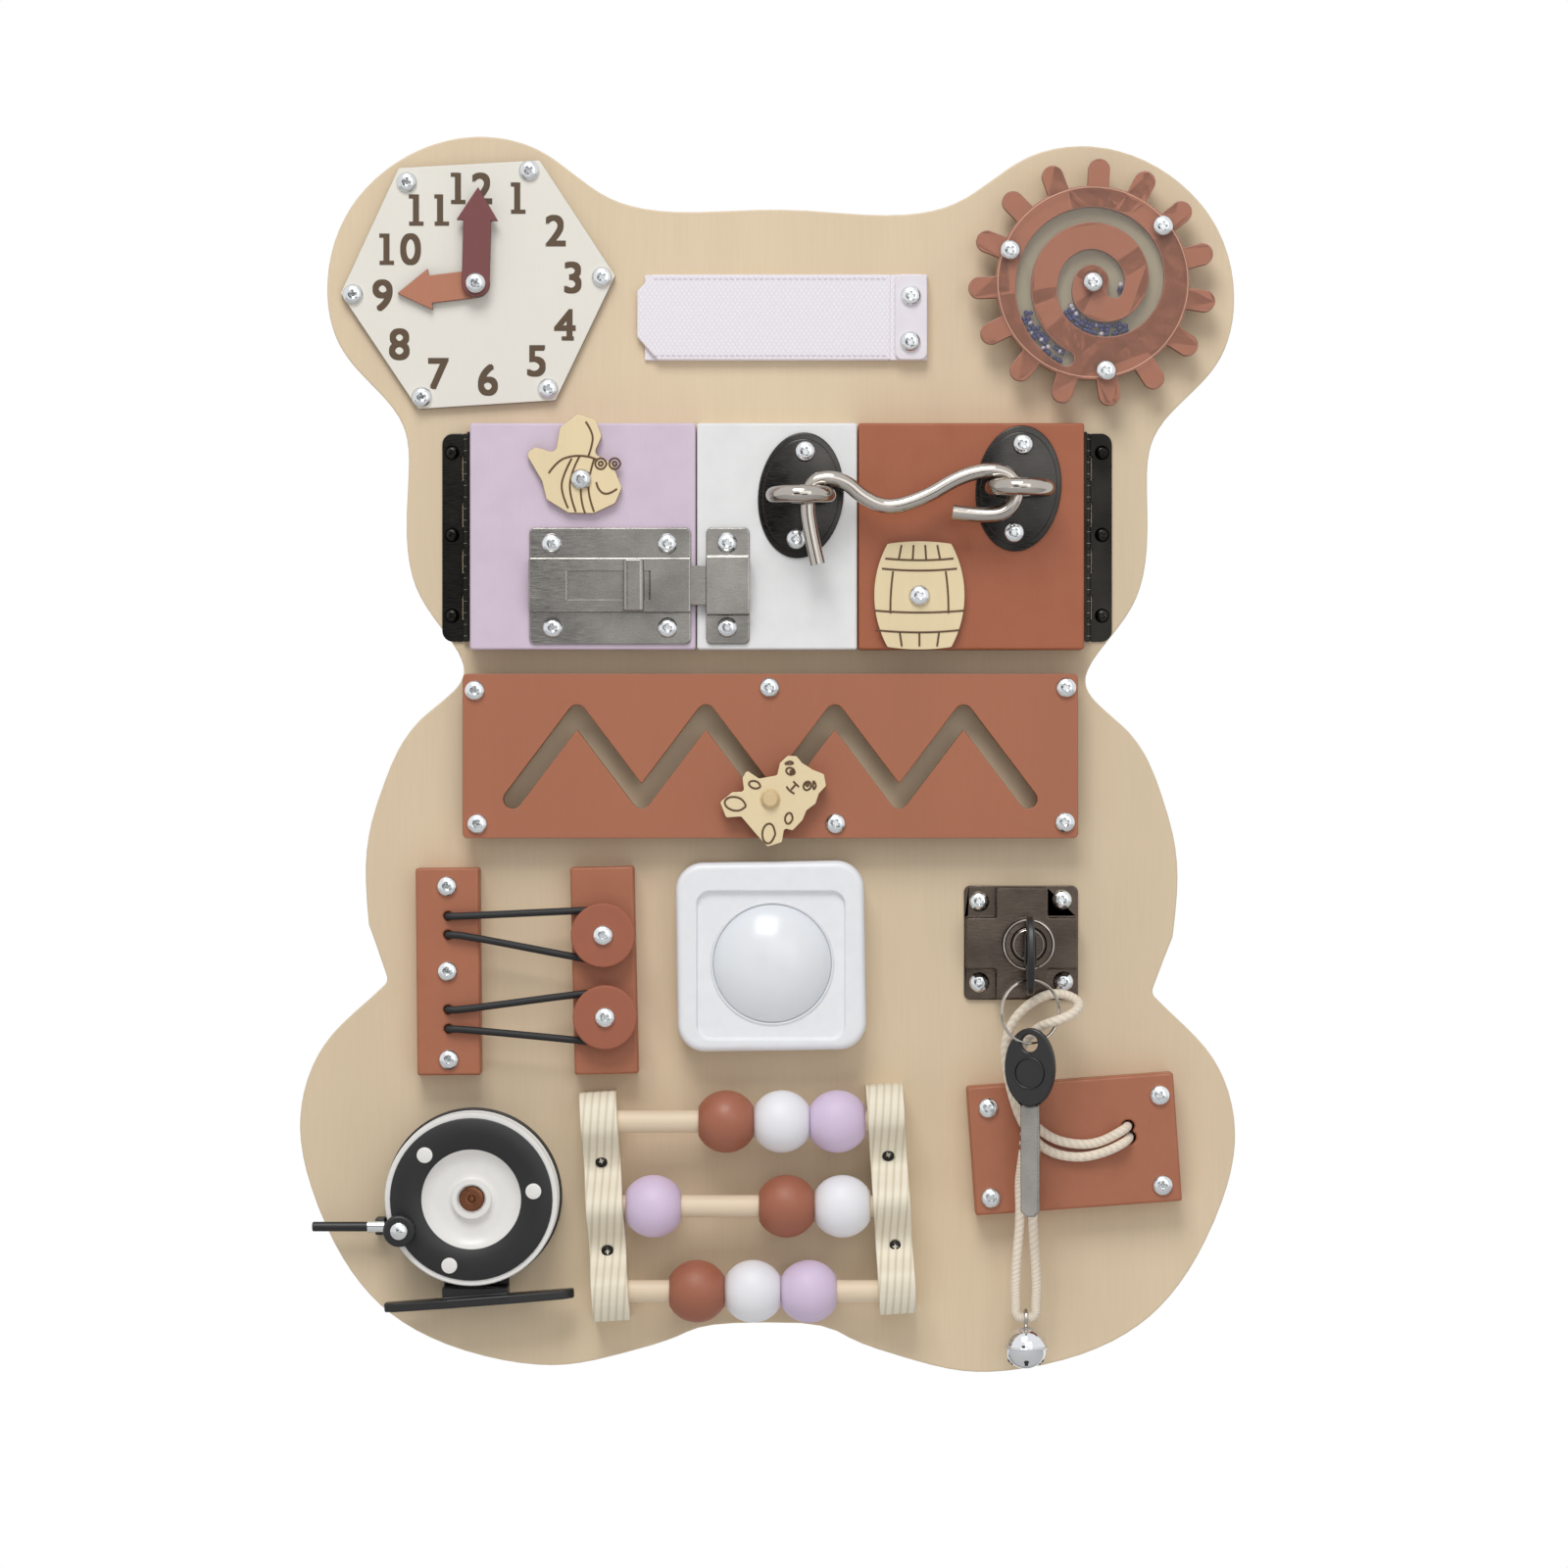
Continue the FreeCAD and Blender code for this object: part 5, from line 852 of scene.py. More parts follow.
def make_board():
    """The plywood board with rounded edges."""
    softened("board", wood("lacquered birch", colours().birch, 0.42), sizes().edge, 2, 60, mend=mend_seat)
    softened("spacers", wood("turned birch", tint(200, 170, 128), 0.4), sizes().arris)


def make_clock():
    """The clock's plate with its numbers, and its two hands; the numbers are a dark inlay that paints the
    shade of their cut-out recesses.
    """
    # The numerals' dark colour is partly their scorched cut edges and partly painted shade, standing in for
    # the depth of the cut-out figures.
    burnt = tint(86, 66, 44)
    softened("clock_face", wood("painted clock plate", colours().clock, 0.12, tint(120, 100, 76)),
             sizes().arris, 2, 50)
    softened("hour_hand", wood("hour hand stain", colours().hour, 0.3, tint(92, 52, 38)), sizes().arris, 2,
             50)
    softened("minute_hand", wood("minute hand stain", colours().minute, 0.3, tint(60, 28, 28)),
             sizes().arris, 2, 50)
    bm = bmesh.new()
    for words, x, z in NUMERALS:
        letters = bpy.data.curves.new("numeral", "FONT")
        letters.body = words
        letters.size = 0.0155
        letters.align_x = "CENTER"
        letters.align_y = "CENTER"
        letters.extrude = 0.0002
        letters.space_character = 1.12
        shape = bpy.data.objects.new("numeral", letters)
        bpy.context.scene.collection.objects.link(shape)
        bpy.context.view_layer.update()
        mesh = bpy.data.meshes.new_from_object(shape)
        bpy.data.objects.remove(shape)
        bold = NUMERAL_BOLD
        for step, (right, up) in enumerate(((-bold, -bold), (-bold, bold), (bold, -bold), (bold, bold), (0,
                                                                                                         0))):
            start = len(bm.verts)
            bm.from_mesh(mesh)
            bm.verts.ensure_lookup_table()
            fresh = bm.verts[start:]
            middle = (min(v.co.y for v in fresh) + max(v.co.y for v in fresh)) / 2
            bmesh.ops.translate(bm, vec=(0, -middle, 0), verts=fresh)
            bmesh.ops.rotate(bm, cent=(0, 0, 0), matrix=Matrix.Rotation(math.pi / 2, 3, "X"), verts=fresh)
            bmesh.ops.translate(bm, vec=at(x + right, 12.86 + step * 0.012, z + up), verts=fresh)
        places = [x] if len(words) == 1 else [x - 4.6, x + 4.6]
        for figure, place in zip(words, places):
            for right, up, wide in SERIFS.get(figure, ()):
                bar = bmesh.ops.create_cube(bm, size=1.0)
                bmesh.ops.scale(bm, vec=(wide / 1000, 0.0004, 0.0015), verts=bar["verts"])
                bmesh.ops.translate(bm, vec=at(place + right, 12.93, z + up), verts=bar["verts"])
    piece(bm, "clock_numerals", "busy_board", wood("numeral scorch and painted shade", burnt, 0.4))


def make_strap():
    """The webbing base, its flap and the plate that clamps them."""
    softened("strap_base", webbing(), 0.0003)
    softened("strap_flap", webbing(), 0.0006, 3, 50)
    softened("strap_clamp", plastic("white clamp", tint(232, 226, 232), 0.3), 0.0004, 3)
    fold = bmesh.new()
    low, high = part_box("strap_flap")
    bent = bmesh.ops.create_cube(fold, size=1.0)
    bmesh.ops.scale(fold, vec=(0.0022, 0.0018, (high.z - low.z) * 0.995), verts=bent["verts"])
    bmesh.ops.translate(fold, vec=(high.x + 0.0009, -0.0124, (low.z + high.z) / 2), verts=bent["verts"])
    long_edges = [edge for edge in fold.edges if abs((edge.verts[0].co - edge.verts[1].co).z) > 0.01]
    bmesh.ops.bevel(fold, geom=long_edges, offset=0.0005, segments=3, profile=0.5, affect="EDGES",
                    material=-1)
    piece(fold, "strap_fold", "busy_board", webbing())
    bm = bmesh.new()
    for z in (143.6, 171.2):
        for number in range(40):
            spot = Matrix.Translation(at(-40 + number * 2.1, 13.85, z - 0.0)) @ Matrix.Rotation(0.08, 4, "Y")
            stitch = bmesh.ops.create_cube(bm, size=1.0, matrix=spot)
            bmesh.ops.scale(bm, vec=(0.0014, 0.0002, 0.00045), space=spot.inverted(), verts=stitch["verts"])
    piece(bm, "strap_stitches", "strap_flap", plastic("strap thread", tint(226, 216, 228), 0.8))


def spiral_radius(turn):
    """The channel's middle line at a turn, between the table's places."""
    for (first, inner), (last, outer) in zip(SPIRAL, SPIRAL[1:]):
        if turn <= last:
            return inner + (outer - inner) * (turn - first) / (last - first)
    return SPIRAL[-1][1]


def make_maze():
    """The maze wheel's layers and the seeds that roll in its channel."""
    edge = tint(226, 176, 150)
    softened("maze_floor", wood("maze floor", tint(172, 160, 132), 0.4), sizes().arris)
    softened("maze_channel", wood("maze terracotta", colours().terracotta, 0.25, tint(120, 66, 48)),
             sizes().arris, 2, 50)
    softened("maze_window", clear(), sizes().arris, 2, 50).modifiers.clear()
    chance = random.Random(5)
    bm = bmesh.new()
    pale = bmesh.new()
    for start, stop, count in SEED_PILES:
        for number in range(count):
            turn = start + (stop - start) * (number + chance.uniform(-0.3, 0.3)) / max(count - 1, 1)
            lift = chance.choice((0.0, 1.5, 3.0)) if count > 4 else 0.0
            radius = spiral_radius(turn) + 2.75 - 1.05 - lift
            spot = at(MAZE[0] + radius * math.cos(math.radians(turn)), 18.4 + chance.uniform(0, 1.2),
                      MAZE[1] + radius * math.sin(math.radians(turn)))
            kind = pale if chance.random() < 0.14 else bm
            bmesh.ops.create_icosphere(kind, subdivisions=2, radius=0.00092, matrix=Matrix.Translation(spot))
    navy = plastic("navy seeds", tint(30, 42, 110), 0.15, 0.6)
    piece(bm, "maze_seeds_finished", "maze_wheel", navy, ("maze_seeds",), 80)
    piece(pale, "maze_seeds_pale", "maze_wheel", plastic("pale seeds", tint(206, 196, 206), 0.15, 0.8), (),
          80)
    rim = bmesh.new()
    ring(rim, at(MAZE[0], 23.05, MAZE[1]), 34.0, 0.16, (0, 1, 0), (1, 0, 0), 90, 6)
    piece(rim, "maze_window_line", "maze_wheel", plastic("window edge", edge, 0.3))


def make_doors():
    """The doors, the block between them and the hinges, with a painted sheen on the hinge knuckles."""
    soft = sizes().worn
    softened("lilac_door", paint("lilac door paint", colours().lilac), soft)
    softened("brown_door", paint("brown door paint", colours().brown), soft)
    softened("centre_block", paint("white block paint", colours().white), soft)
    for node in ("board_hinge_leaves", "lilac_door_leaf", "brown_door_leaf"):
        softened(node, black_metal(), 0.0002)
    # Pale metal rings on each black knuckle are a painted sheen, standing in for the light the knuckles catch.
    for name, node, x in (("lilac_hinge_shine", "lilac_door_leaf", -108.2), ("brown_hinge_shine",
                                                                             "brown_door_leaf", 115.2)):
        bm = bmesh.new()
        low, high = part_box(node)
        step = (high.z - low.z) / 18
        for number in range(18):
            z = (low.z + step * (number + 0.5)) * 1000
            ring(bm, at(x, 11.45, z), 1.22, 0.16, (0, 0, 1), (1, 0, 0), 16, 6)
        piece(bm, name, "busy_board", metal("painted hinge sheen", tint(150, 148, 144), 0.15, 0.4))


def make_eye(node, x, z, tilt, middle, body):
    """An oval plate with a raised rim, and a round eye standing on it."""
    bm = bmesh.new()
    for shrink, out in ((1.0, 24.1), (0.9, 24.5)):
        top = bmesh.ops.create_circle(bm, cap_ends=True, segments=64, radius=1.0)
        spot = Matrix.Translation(at(middle[0], 23.0, middle[1])) @ Matrix.Rotation(tilt, 4, "Y") \
            @ Matrix.Rotation(math.pi / 2, 4, "X")
        bmesh.ops.scale(bm, vec=(0.0153 * shrink, 0.0226 * shrink, 1), verts=top["verts"])
        bmesh.ops.transform(bm, matrix=spot, verts=top["verts"])
        faces = list({face for vert in top["verts"] for face in vert.link_faces})
        up = bmesh.ops.extrude_face_region(bm, geom=faces)
        raised = [item for item in up["geom"] if isinstance(item, bmesh.types.BMVert)]
        bmesh.ops.translate(bm, vec=(0, -(out - 23.0) / 1000, 0), verts=raised)
        rim = [edge for edge in bm.edges if all(v in raised for v in edge.verts) and len(edge.link_faces) == 2]
        bmesh.ops.bevel(bm, geom=rim, offset=0.0005, segments=3, profile=0.5, affect="EDGES", material=-1)
    piece(bm, node + "_plate", body, metal("dark eye plate", tint(70, 68, 66), 0.12, 0.35, 0.5), (node,))
    loop = bmesh.new()
    ring(loop, at(x, HOOK_OUT, z), 9.4, 3.15, (0, 0, 1), (1, 0, 0), 56, 20)
    piece(loop, node + "_ring", body, chrome())


def make_latches():
    """The barrel bolt, its keeper, the cabin hook and its two eyes."""
    edge = sizes().pressed
    for node in ("bolt_case", "bolt_keeper", "bolt_bar"):
        softened(node, steel(), edge, 3, 40)
    make_eye("left_eye", 12.0, 92.2, math.radians(5.8), (12.0, 92.7), "busy_board")
    make_eye("right_eye", 89.9, 94.8, math.radians(5.8), (89.9, 95.2), "right_door")
    hook = wire("cabin_hook_finished", [[at(x, HOOK_OUT, z) for x, z in HOOK_ROUTE]], 0.0054, "cabin_hook",
                chrome(), sides=8)
    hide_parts("cabin_hook")


def make_charms():
    """The bee, the barrel and the bear, with the lines burnt in them."""
    face = wood("figure birch", tint(238, 218, 176), 0.3, tint(120, 84, 48))
    for node in ("bee", "barrel", "bear"):
        softened(node, face, sizes().arris, 2, 50)
    bee = [
        [(-4.7, -10.3), (-7.6, -4.0), (-6.0, 2.6), (-3.4, 7.4)], [(-1.9, -11.7), (-4.6, -4.6), (-3.2, 3.4),
                                                                  (-0.6, 8.2)],
        [(1.4, -12.2), (-0.6, -6.8), (0.0, -1.2)], [(4.6, -11.6), (2.6, -6.2), (2.6, 0.6), (4.6, 7.2)],
        [(5.4, -1.0), (6.0, -4.0), (9.6, -5.8), (12.8, -3.4)], [(-11.6, 2.2), (-8.6, 6.6), (-3.0, 8.6),
                                                                (3.6, 8.2), (6.0, 6.8)],
        [(1.6, 20.6), (4.4, 16.6), (3.8, 11.6), (2.6, 8.4)],
    ]
    for x in (7.0, 12.0):
        for reach in (2.1, 0.8):
            turns = [number * math.tau / 8 for number in range(9)]
            bee.append([(x + reach * math.cos(turn), 5.6 + reach * math.sin(turn)) for turn in turns])
    burnt_lines("bee_lines", bee, BEE, 26.2, "bee")
    barrel = [[(-12.2, 13.2), (0, 12.0), (12.2, 13.2)], [(-13.4, 9.6), (0, 8.2), (13.4, 9.6)],
              [(-15.9, -5.4), (0, -6.8), (15.9, -5.4)], [(-15.7, -12.4), (0, -14.0), (14.2, -12.4)]]
    barrel += [[(x * 0.8, 18.0), (x * 0.92, 13.0)] for x in (-8, -2.6, 2.6, 8)]
    barrel += [[(x, 8.6), (x * 1.12, 0.6), (x * 1.1, -6.4)] for x in (-9.4, 9.4)]
    barrel += [[(x, -13.4), (x * 0.9, -18.2)] for x in (-7, 0, 7)]
    burnt_lines("barrel_lines", barrel, BARREL, 26.2, "barrel")

    def oval(x, z, wide, tall, tilt=0.0, count=9):
        turns = [n * math.tau / (count - 1) for n in range(count)]
        return [(x + wide * math.cos(t) * math.cos(tilt) - tall * math.sin(t) * math.sin(tilt),
                 z + wide * math.cos(t) * math.sin(tilt) + tall * math.sin(t) * math.cos(tilt)) for t in turns]

    bear = [oval(-12.6, -1.6, 4.0, 2.6, -0.2), oval(-0.6, -12.2, 2.4, 3.8, -0.1), oval(-5.6, 5.2, 2.2, 1.4,
                                                                                       -0.3),
            oval(6.6, -6.8, 1.4, 2.1, -0.2), oval(7.2, 10.0, 1.7, 1.3, -0.4), oval(13.2, 4.8, 1.4, 1.7, -0.4),
            oval(7.6, 9.8, 0.5, 0.5), oval(13.2, 5.2, 0.5, 0.5),
            [(8.2, 6.4), (10.2, 4.4)], [(9.2, 5.4), (7.4, 3.4)], [(5.8, 4.6), (6.6, 3.0), (8.6, 2.0)],
            [(5.2, 12.6), (6.8, 14.0), (9.0, 12.4), (5.2, 12.6)], [(15.4, 6.6), (16.8, 5.0), (15.0, 2.8),
                                                                   (15.4, 6.6)]]
    burnt_lines("bear_lines", bear, BEAR, 28.7, "bear")


def make_zigzag():
    """The zigzag panel and the peg that slides in it."""
    softened("zigzag_panel", wood("panel terracotta", colours().terracotta, 0.22, tint(122, 84, 50)),
             sizes().arris, 2, 50)
    softened("slider_peg", wood("peg birch", tint(222, 196, 150), 0.3), 0.0002)


def make_bands():
    """The painted blocks, the knobs and the elastic bands stretched round them."""
    stain = paint("block paint", colours().terracotta, 0.5)
    softened("painted_blocks", stain, sizes().worn, 3)
    softened("band_knobs", paint("knob paint", tint(160, 92, 66), 0.5), 0.0006, 3, 50)
    runs = []
    neck_out, reach = 24.0, 8.75
    for number, (x, z) in enumerate(BAND_KNOBS):
        upper, lower = BAND_HOLES[2 * number], BAND_HOLES[2 * number + 1]
        route = [(upper[0], 17, upper[1]), (upper[0], 22.8, upper[1]), (upper[0] + 0.5, 24.0, upper[1]),
                 (upper[0] + 5.0, 24.2, upper[1]), (x - 4.0, neck_out, z + reach * 1.02),
                 (x + reach * 0.62, neck_out, z + reach * 1.04), (x + reach * 1.12, neck_out,
                                                                  z + reach * 0.30),
                 (x + reach * 1.02, neck_out, z - reach * 0.62), (x + reach * 0.2, neck_out,
                                                                  z - reach * 1.12),
                 (x - 6.0, neck_out, z - reach * 1.0), (lower[0] + 5.0, 24.2, lower[1]),
                 (lower[0] + 0.5, 24.0, lower[1]), (lower[0], 22.8, lower[1]), (lower[0], 17, lower[1])]
        runs.append([at(*spot) for spot in route])
    bands = wire("elastic_bands_finished", runs, sizes().elastic, "busy_board",
                 plastic("black elastic", tint(26, 26, 28), 0.6, 0.5, 900.0))
    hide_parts("elastic_bands")


def make_light():
    """The push light's housing and dome."""
    softened("light_housing", plastic("light white", tint(238, 239, 242), 0.35), 0.0006, 3, 40)
    bm = bmesh.new()
    low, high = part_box("light_dome")
    front, back = -low.y * 1000, -high.y * 1000
    rise = 8.0
    ball = (21.1 ** 2 + rise ** 2) / (2 * rise)
    cap = [(0, front)]
    for number in range(1, 10):
        radius = 21.1 * number / 9.4
        cap.append((radius, front - ball + math.sqrt(ball ** 2 - radius ** 2)))
    cap += [(21.1, front - rise - 0.4), (21.1, back), (0, back)]
    lathe(bm, cap, 1.8, -74.8, 72)
    dome = plastic("milky dome", tint(236, 236, 240), 0.22, 0.985, 40.0, Subsurface_Weight=0.1)
    piece(bm, "light_dome_finished", "light_dome", dome, ("light_dome",))
    line = bmesh.new()
    ring(line, at(1.8, 24.0, -74.8), 21.75, 0.55, (0, 1, 0), (1, 0, 0), 72, 8)
    piece(line, "light_dome_seam", "busy_board", plastic("seam grey", tint(226, 228, 232), 0.5))


def shade_faces(thing, test, index=1):
    """Give the faces that the test picks the second finish."""
    for face in thing.data.polygons:
        if test(face.center * 1000):
            face.material_index = index


def make_lock():
    """The lock, the key in it, the key ring and the spare key."""
    softened("lock_case", bronze(), sizes().pressed, 3, 40)
    softened("lock_plug", bronze(), 0.0003, 2, 40)
    rim = bmesh.new()
    low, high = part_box("lock_plug")
    barrel = ((low.x + high.x) * 500, (low.z + high.z) * 500)
    ring(rim, at(barrel[0], 30.1, barrel[1]), 8.7, 0.5, (0, 1, 0), (1, 0, 0), 56, 10)
    ring(rim, at(barrel[0], 30.55, barrel[1]), 5.2, 0.22, (0, 1, 0), (1, 0, 0), 40, 8)
    piece(rim, "lock_rim", "busy_board", chrome())
    black = plastic("key black", tint(24, 24, 26), 0.32, 0.7, 300.0)
    keys = [black, steel()]
    held = softened("lock_key", keys, 0.0007, 3, 50)
    shade_faces(held, lambda spot: -spot.y < 33.2)
    spare = softened("spare_key", keys, 0.0006, 3, 50)
    shade_faces(spare, lambda spot: spot.z < -124.6)
    for name, body, centre, turn in (("key_boss", "lock_key", at(93.3, 42.5, -69.5), math.pi / 2),
                                     ("spare_boss", "spare_key", at(93.3, 42.5, -113.0), -math.radians(22))):
        bm = bmesh.new()
        facing = Matrix.Rotation(turn, 3, "Z") @ Vector((0, -1, 0))
        for side in (-1, 1):
            ring(bm, centre + facing * side * 0.0017, 5.4, 0.35, facing, (0, 0, 1), 40, 8)
        piece(bm, name, body, black)
    bm = bmesh.new()
    facing = Vector((math.sin(math.radians(22)), -math.cos(math.radians(22)), 0))
    middle = at(93.3, 42.5, -91.3)
    for side in (-1, 1):
        ring(bm, middle + facing * side * 0.00038, 11.2, 0.42, facing, (0, 0, 1), 64, 10)
    piece(bm, "key_ring_finished", "key_ring", chrome(), ("key_ring",))


def make_bell():
    """A round bell with a rim about its middle and slots below, whose openings are painted shade."""
    x, out, z, radius = 92.5, 24.0, -212.2, 7.6
    bm = bmesh.new()
    bmesh.ops.create_uvsphere(bm, u_segments=40, v_segments=24, radius=radius / 1000,
                              matrix=Matrix.Translation(at(x, out, z)))
    ring(bm, at(x, out, z), radius + 0.1, 0.45, (0, 0, 1), (1, 0, 0), 56, 8)
    piece(bm, "bell_finished", "bell", metal("bell nickel", tint(226, 228, 232), 0.03, 0.12, 0.9),
          ("bell",), 60)
    # The slots are not cut through: dark pieces on the bell paint the shade inside the openings.
    dark = bmesh.new()
    for turn in (0, 90):
        slot = bmesh.ops.create_cube(dark, size=1.0)
        bmesh.ops.scale(dark, vec=(0.0106, 0.0012, 0.0024), verts=slot["verts"])
        bmesh.ops.rotate(dark, cent=(0, 0, 0), matrix=Matrix.Rotation(math.radians(turn), 3, "Z"),
                         verts=slot["verts"])
        bmesh.ops.translate(dark, vec=at(x, out, z - 4.9), verts=slot["verts"])
        for side in (-1, 1):
            hole = bmesh.ops.create_uvsphere(dark, u_segments=12, v_segments=8, radius=0.0011)
            step = Matrix.Rotation(math.radians(turn), 3, "Z") @ Vector((side * 0.0054, 0, 0))
            bmesh.ops.translate(dark, vec=at(x, out, z - 4.4) + step, verts=hole["verts"])
    piece(dark, "bell_slot_shade", "bell", plastic("painted bell slot shade", tint(30, 30, 30), 0.6))
    loop = bmesh.new()
    ring(loop, at(x, out, z + radius + 2.8), 2.9, 0.7, (1, 0, 0), (0, 1, 0), 32, 10)
    lathe(loop, [(0, 0.0), (2.0, 0.0), (2.0, 0.1)], x, z, 12)
    bmesh.ops.delete(loop, geom=[v for v in loop.verts if v.co.y > -0.01], context="VERTS")
    piece(loop, "bell_loop", "bell", chrome())


def make_reel():
    """The toy reel: frame, spool with its dish, dots and hub, and the winding knob."""
    x, z = REEL
    black = plastic("reel black", tint(20, 20, 22), 0.42, 0.7, 260.0)
    white = plastic("reel white", tint(236, 234, 230), 0.3)
    softened("reel_frame", black, 0.0005, 2, 40)
    softened("reel_knob", black, 0.0004, 3, 40)
    bm = bmesh.new()
    lathe(bm, [(3.1, 13.5), (31.0, 13.5), (31.0, 16.3), (30.6, 16.5), (22.0, 16.5), (22.0, 26.5), (30.4,
                                                                                                   26.5),
               (30.9, 26.8), (30.9, 29.1), (30.5, 29.5), (17.8, 29.5), (16.9, 28.6), (15.2, 27.3), (12.6,
                                                                                                    26.8),
               (9.4, 26.6), (7.6, 26.7), (7.2, 27.0), (7.2, 28.8), (6.9, 29.1), (5.4, 29.1),
               (5.1, 28.8), (5.1, 26.2), (3.1, 26.2), (3.1, 13.5)], x, z, 72)
    piece(bm, "reel_spool_white", "reel_spool", white, ("reel_spool",))
    disc = bmesh.new()
    lathe(disc, [(17.8, 29.4), (17.8, 30.0), (18.1, 30.2), (28.6, 30.2), (29.0, 30.0), (29.0, 29.4), (17.8,
                                                                                                      29.4)],
          x, z, 72)
    lathe(disc, [(31.0, 13.6), (31.4, 13.6), (31.4, 16.3), (31.0, 16.3), (31.0, 13.6)], x, z, 60)
    lathe(disc, [(22.3, 17.0), (28.6, 17.0), (28.6, 26.0), (22.3, 26.0), (22.3, 17.0)], x, z, 60)
    piece(disc, "reel_spool_black", "reel_spool", black)
    dots = bmesh.new()
    for spot in ((-122.2, -143.0), (-83.4, -155.9), (-113.4, -182.4)):
        lathe(dots, [(0, 30.6), (1.6, 30.5), (2.6, 30.3), (3.0, 30.1), (3.0, 29.8), (0, 29.8)], *spot, 28)
    piece(dots, "reel_dots", "reel_spool", white)
    hub = bmesh.new()
    lathe(hub, [(0, 27.6), (0.9, 27.5), (1.4, 26.9), (3.4, 27.2), (4.3, 26.9), (4.6, 26.3), (0, 26.3)], x,
          z, 24)
    piece(hub, "reel_hub_screw", "reel_spool", metal("copper screw", tint(128, 84, 62), 0.2, 0.45))
    crank = bmesh.new()
    lathe(crank, [(0, 37.8), (2.2, 37.6), (3.0, 37.0), (3.2, 36.2), (0, 36.2)], -131.0, -169.7, 24)
    piece(crank, "reel_knob_screw", "reel_spool", zinc())
    sleeve = bmesh.new()
    turned_along(sleeve, [(1.75, -3.2), (2.15, -3.0), (2.15, 3.0), (1.75, 3.2)], -140.4, 18.5, -169.4, 24)
    piece(sleeve, "reel_guide_sleeve", "busy_board", zinc())


def make_abacus():
    """The plywood rails, the rods and the painted beads."""
    softened("abacus_rails", layered("rail plywood", math.radians(-3.6)), sizes().arris, 2, 50)
    softened("abacus_rods", wood("rod birch", tint(236, 216, 188), 0.35, turn=(0, math.pi / 2, 0)), 0.0002)
    paints = {"brown": paint("brown bead paint", tint(164, 100, 76), 0.3, 30.0),
              "white": paint("white bead paint", tint(242, 242, 246), 0.3, 30.0),
              "lilac": paint("lilac bead paint", tint(222, 202, 230), 0.3, 30.0)}
    for node in sorted(NODES):
        if not node.endswith("_bead"):
            continue
        low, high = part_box(node)
        middle = (low + high) * 500
        half, radius, bore = (high.x - low.x) * 500, (high.z - low.z) * 500, 4.2
        flat = math.sqrt(max(radius ** 2 - half ** 2, 0))
        profile = [(bore, -half + 0.5), (bore + 0.5, -half), (max(flat, bore + 1.0), -half)]
        for number in range(1, 16):
            along = -half + 2 * half * number / 16
            profile.append((math.sqrt(radius ** 2 - along ** 2), along))
        profile += [(max(flat, bore + 1.0), half), (bore + 0.5, half), (bore, half - 0.5)]
        bm = bmesh.new()
        turned_along(bm, profile, middle.x, -middle.y, middle.z, 48)
        piece(bm, node + "_finished", node, paints[node.split("_")[1]], (node,), 50)


def make_screws():
    """Every pan-head screw and every black screw, with its cross recess."""
    chance = random.Random(11)
    master = screw_master(3.7, 2.2)
    for node in ("fixed_screws", "lilac_door_screws", "brown_door_screws", "maze_screws"):
        place_screws(node, master, zinc(), chance)
    small = screw_master(2.6, 1.1)
    place_screws("black_screws", small, black_metal(), chance)


# ---- operators ----

class BOARD_OT_stage(bpy.types.Operator):
    """Set up the camera, the lamps and the white room."""

    bl_idname = "busy_board.stage"
    bl_label = "Stage"

    def execute(self, context):
        make_stage()
        return {"FINISHED"}


class BOARD_OT_cords(bpy.types.Operator):
    """Lay the cotton cords."""

    bl_idname = "busy_board.cords"
    bl_label = "Cotton cords"

    def execute(self, context):
        make_cords()
        return {"FINISHED"}


class BOARD_OT_plywood(bpy.types.Operator):
    """Dress the plywood board."""

    bl_idname = "busy_board.plywood"
    bl_label = "Plywood board"

    def execute(self, context):
        make_board()
        return {"FINISHED"}


class BOARD_OT_clock(bpy.types.Operator):
    """Dress the clock."""

    bl_idname = "busy_board.clock"
    bl_label = "Clock"

    def execute(self, context):
        make_clock()
        return {"FINISHED"}


class BOARD_OT_strap(bpy.types.Operator):
    """Dress the webbing strap."""

    bl_idname = "busy_board.strap"
    bl_label = "Webbing strap"

    def execute(self, context):
        make_strap()
        return {"FINISHED"}


class BOARD_OT_maze(bpy.types.Operator):
    """Dress the maze wheel."""

    bl_idname = "busy_board.maze"
    bl_label = "Maze wheel"

    def execute(self, context):
        make_maze()
        return {"FINISHED"}


class BOARD_OT_doors(bpy.types.Operator):
    """Dress the doors and their hinges."""

    bl_idname = "busy_board.doors"
    bl_label = "Doors"

    def execute(self, context):
        make_doors()
        return {"FINISHED"}


class BOARD_OT_latches(bpy.types.Operator):
    """Dress the barrel bolt and the cabin hook."""

    bl_idname = "busy_board.latches"
    bl_label = "Latches"

    def execute(self, context):
        make_latches()
        return {"FINISHED"}


class BOARD_OT_charms(bpy.types.Operator):
    """Dress the wooden figures."""

    bl_idname = "busy_board.charms"
    bl_label = "Wooden figures"

    def execute(self, context):
        make_charms()
        return {"FINISHED"}


class BOARD_OT_zigzag(bpy.types.Operator):
    """Dress the zigzag panel."""

    bl_idname = "busy_board.zigzag"
    bl_label = "Zigzag panel"

    def execute(self, context):
        make_zigzag()
        return {"FINISHED"}


class BOARD_OT_bands(bpy.types.Operator):
    """Dress the band game."""

    bl_idname = "busy_board.bands"
    bl_label = "Band game"

    def execute(self, context):
        make_bands()
        return {"FINISHED"}


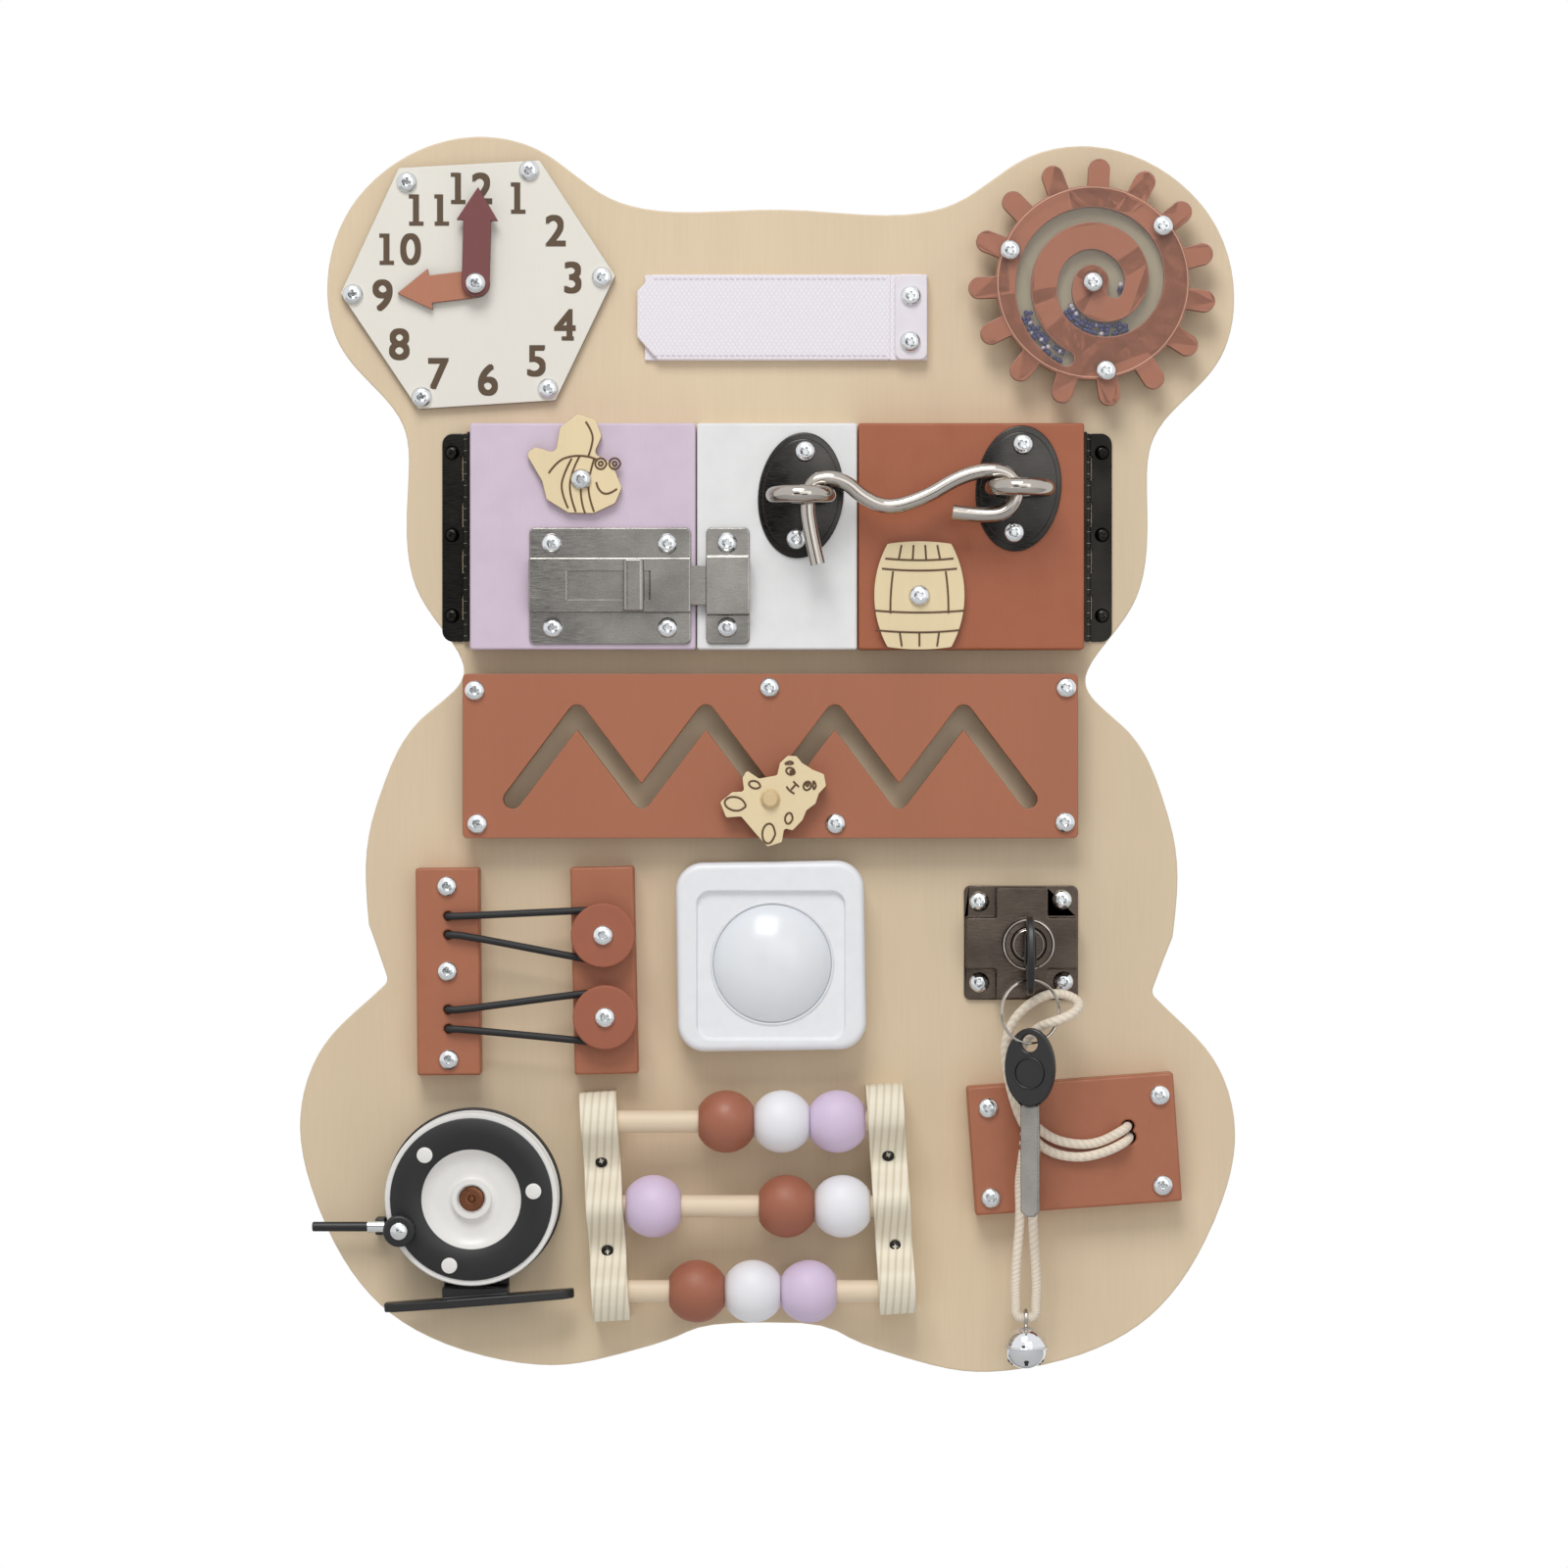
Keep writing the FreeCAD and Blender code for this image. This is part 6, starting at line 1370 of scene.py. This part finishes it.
class BOARD_OT_light(bpy.types.Operator):
    """Dress the push light."""

    bl_idname = "busy_board.light"
    bl_label = "Push light"

    def execute(self, context):
        make_light()
        return {"FINISHED"}


class BOARD_OT_lock(bpy.types.Operator):
    """Dress the lock and its keys."""

    bl_idname = "busy_board.lock"
    bl_label = "Lock and keys"

    def execute(self, context):
        make_lock()
        return {"FINISHED"}


class BOARD_OT_bell(bpy.types.Operator):
    """Dress the bell."""

    bl_idname = "busy_board.bell"
    bl_label = "Bell"

    def execute(self, context):
        make_bell()
        return {"FINISHED"}


class BOARD_OT_reel(bpy.types.Operator):
    """Dress the toy reel."""

    bl_idname = "busy_board.reel"
    bl_label = "Toy reel"

    def execute(self, context):
        make_reel()
        return {"FINISHED"}


class BOARD_OT_abacus(bpy.types.Operator):
    """Dress the abacus."""

    bl_idname = "busy_board.abacus"
    bl_label = "Abacus"

    def execute(self, context):
        make_abacus()
        return {"FINISHED"}


class BOARD_OT_screws(bpy.types.Operator):
    """Put a detailed screw in each place."""

    bl_idname = "busy_board.screws"
    bl_label = "Screws"

    def execute(self, context):
        make_screws()
        return {"FINISHED"}


OPERATORS = (BOARD_OT_stage, BOARD_OT_cords, BOARD_OT_plywood, BOARD_OT_clock, BOARD_OT_strap, BOARD_OT_maze,
             BOARD_OT_doors, BOARD_OT_latches, BOARD_OT_charms, BOARD_OT_zigzag, BOARD_OT_bands,
             BOARD_OT_light, BOARD_OT_lock, BOARD_OT_bell, BOARD_OT_reel, BOARD_OT_abacus, BOARD_OT_screws)


class BOARD_PT_sidebar(bpy.types.Panel):
    """The board's operators, colours and sizes."""

    bl_idname = "BOARD_PT_sidebar"
    bl_label = "Busy board"
    bl_space_type = "VIEW_3D"
    bl_region_type = "UI"
    bl_category = "Busy board"

    def draw(self, context):
        for operator in OPERATORS:
            self.layout.operator(operator.bl_idname)
        for settings in (context.scene.board_colours, context.scene.board_sizes):
            for name in settings.__annotations__:
                self.layout.prop(settings, name)


CLASSES = (BoardColours, BoardSizes, *OPERATORS, BOARD_PT_sidebar)


def register():
    for item in CLASSES:
        bpy.utils.register_class(item)
    bpy.types.Scene.board_colours = bpy.props.PointerProperty(type=BoardColours)
    bpy.types.Scene.board_sizes = bpy.props.PointerProperty(type=BoardSizes)


def unregister():
    del bpy.types.Scene.board_colours
    del bpy.types.Scene.board_sizes
    for item in reversed(CLASSES):
        bpy.utils.unregister_class(item)


def main():
    register()
    for operator in OPERATORS:
        getattr(bpy.ops.busy_board, operator.bl_idname.split(".")[1])()


if __name__ == "__main__":
    main()
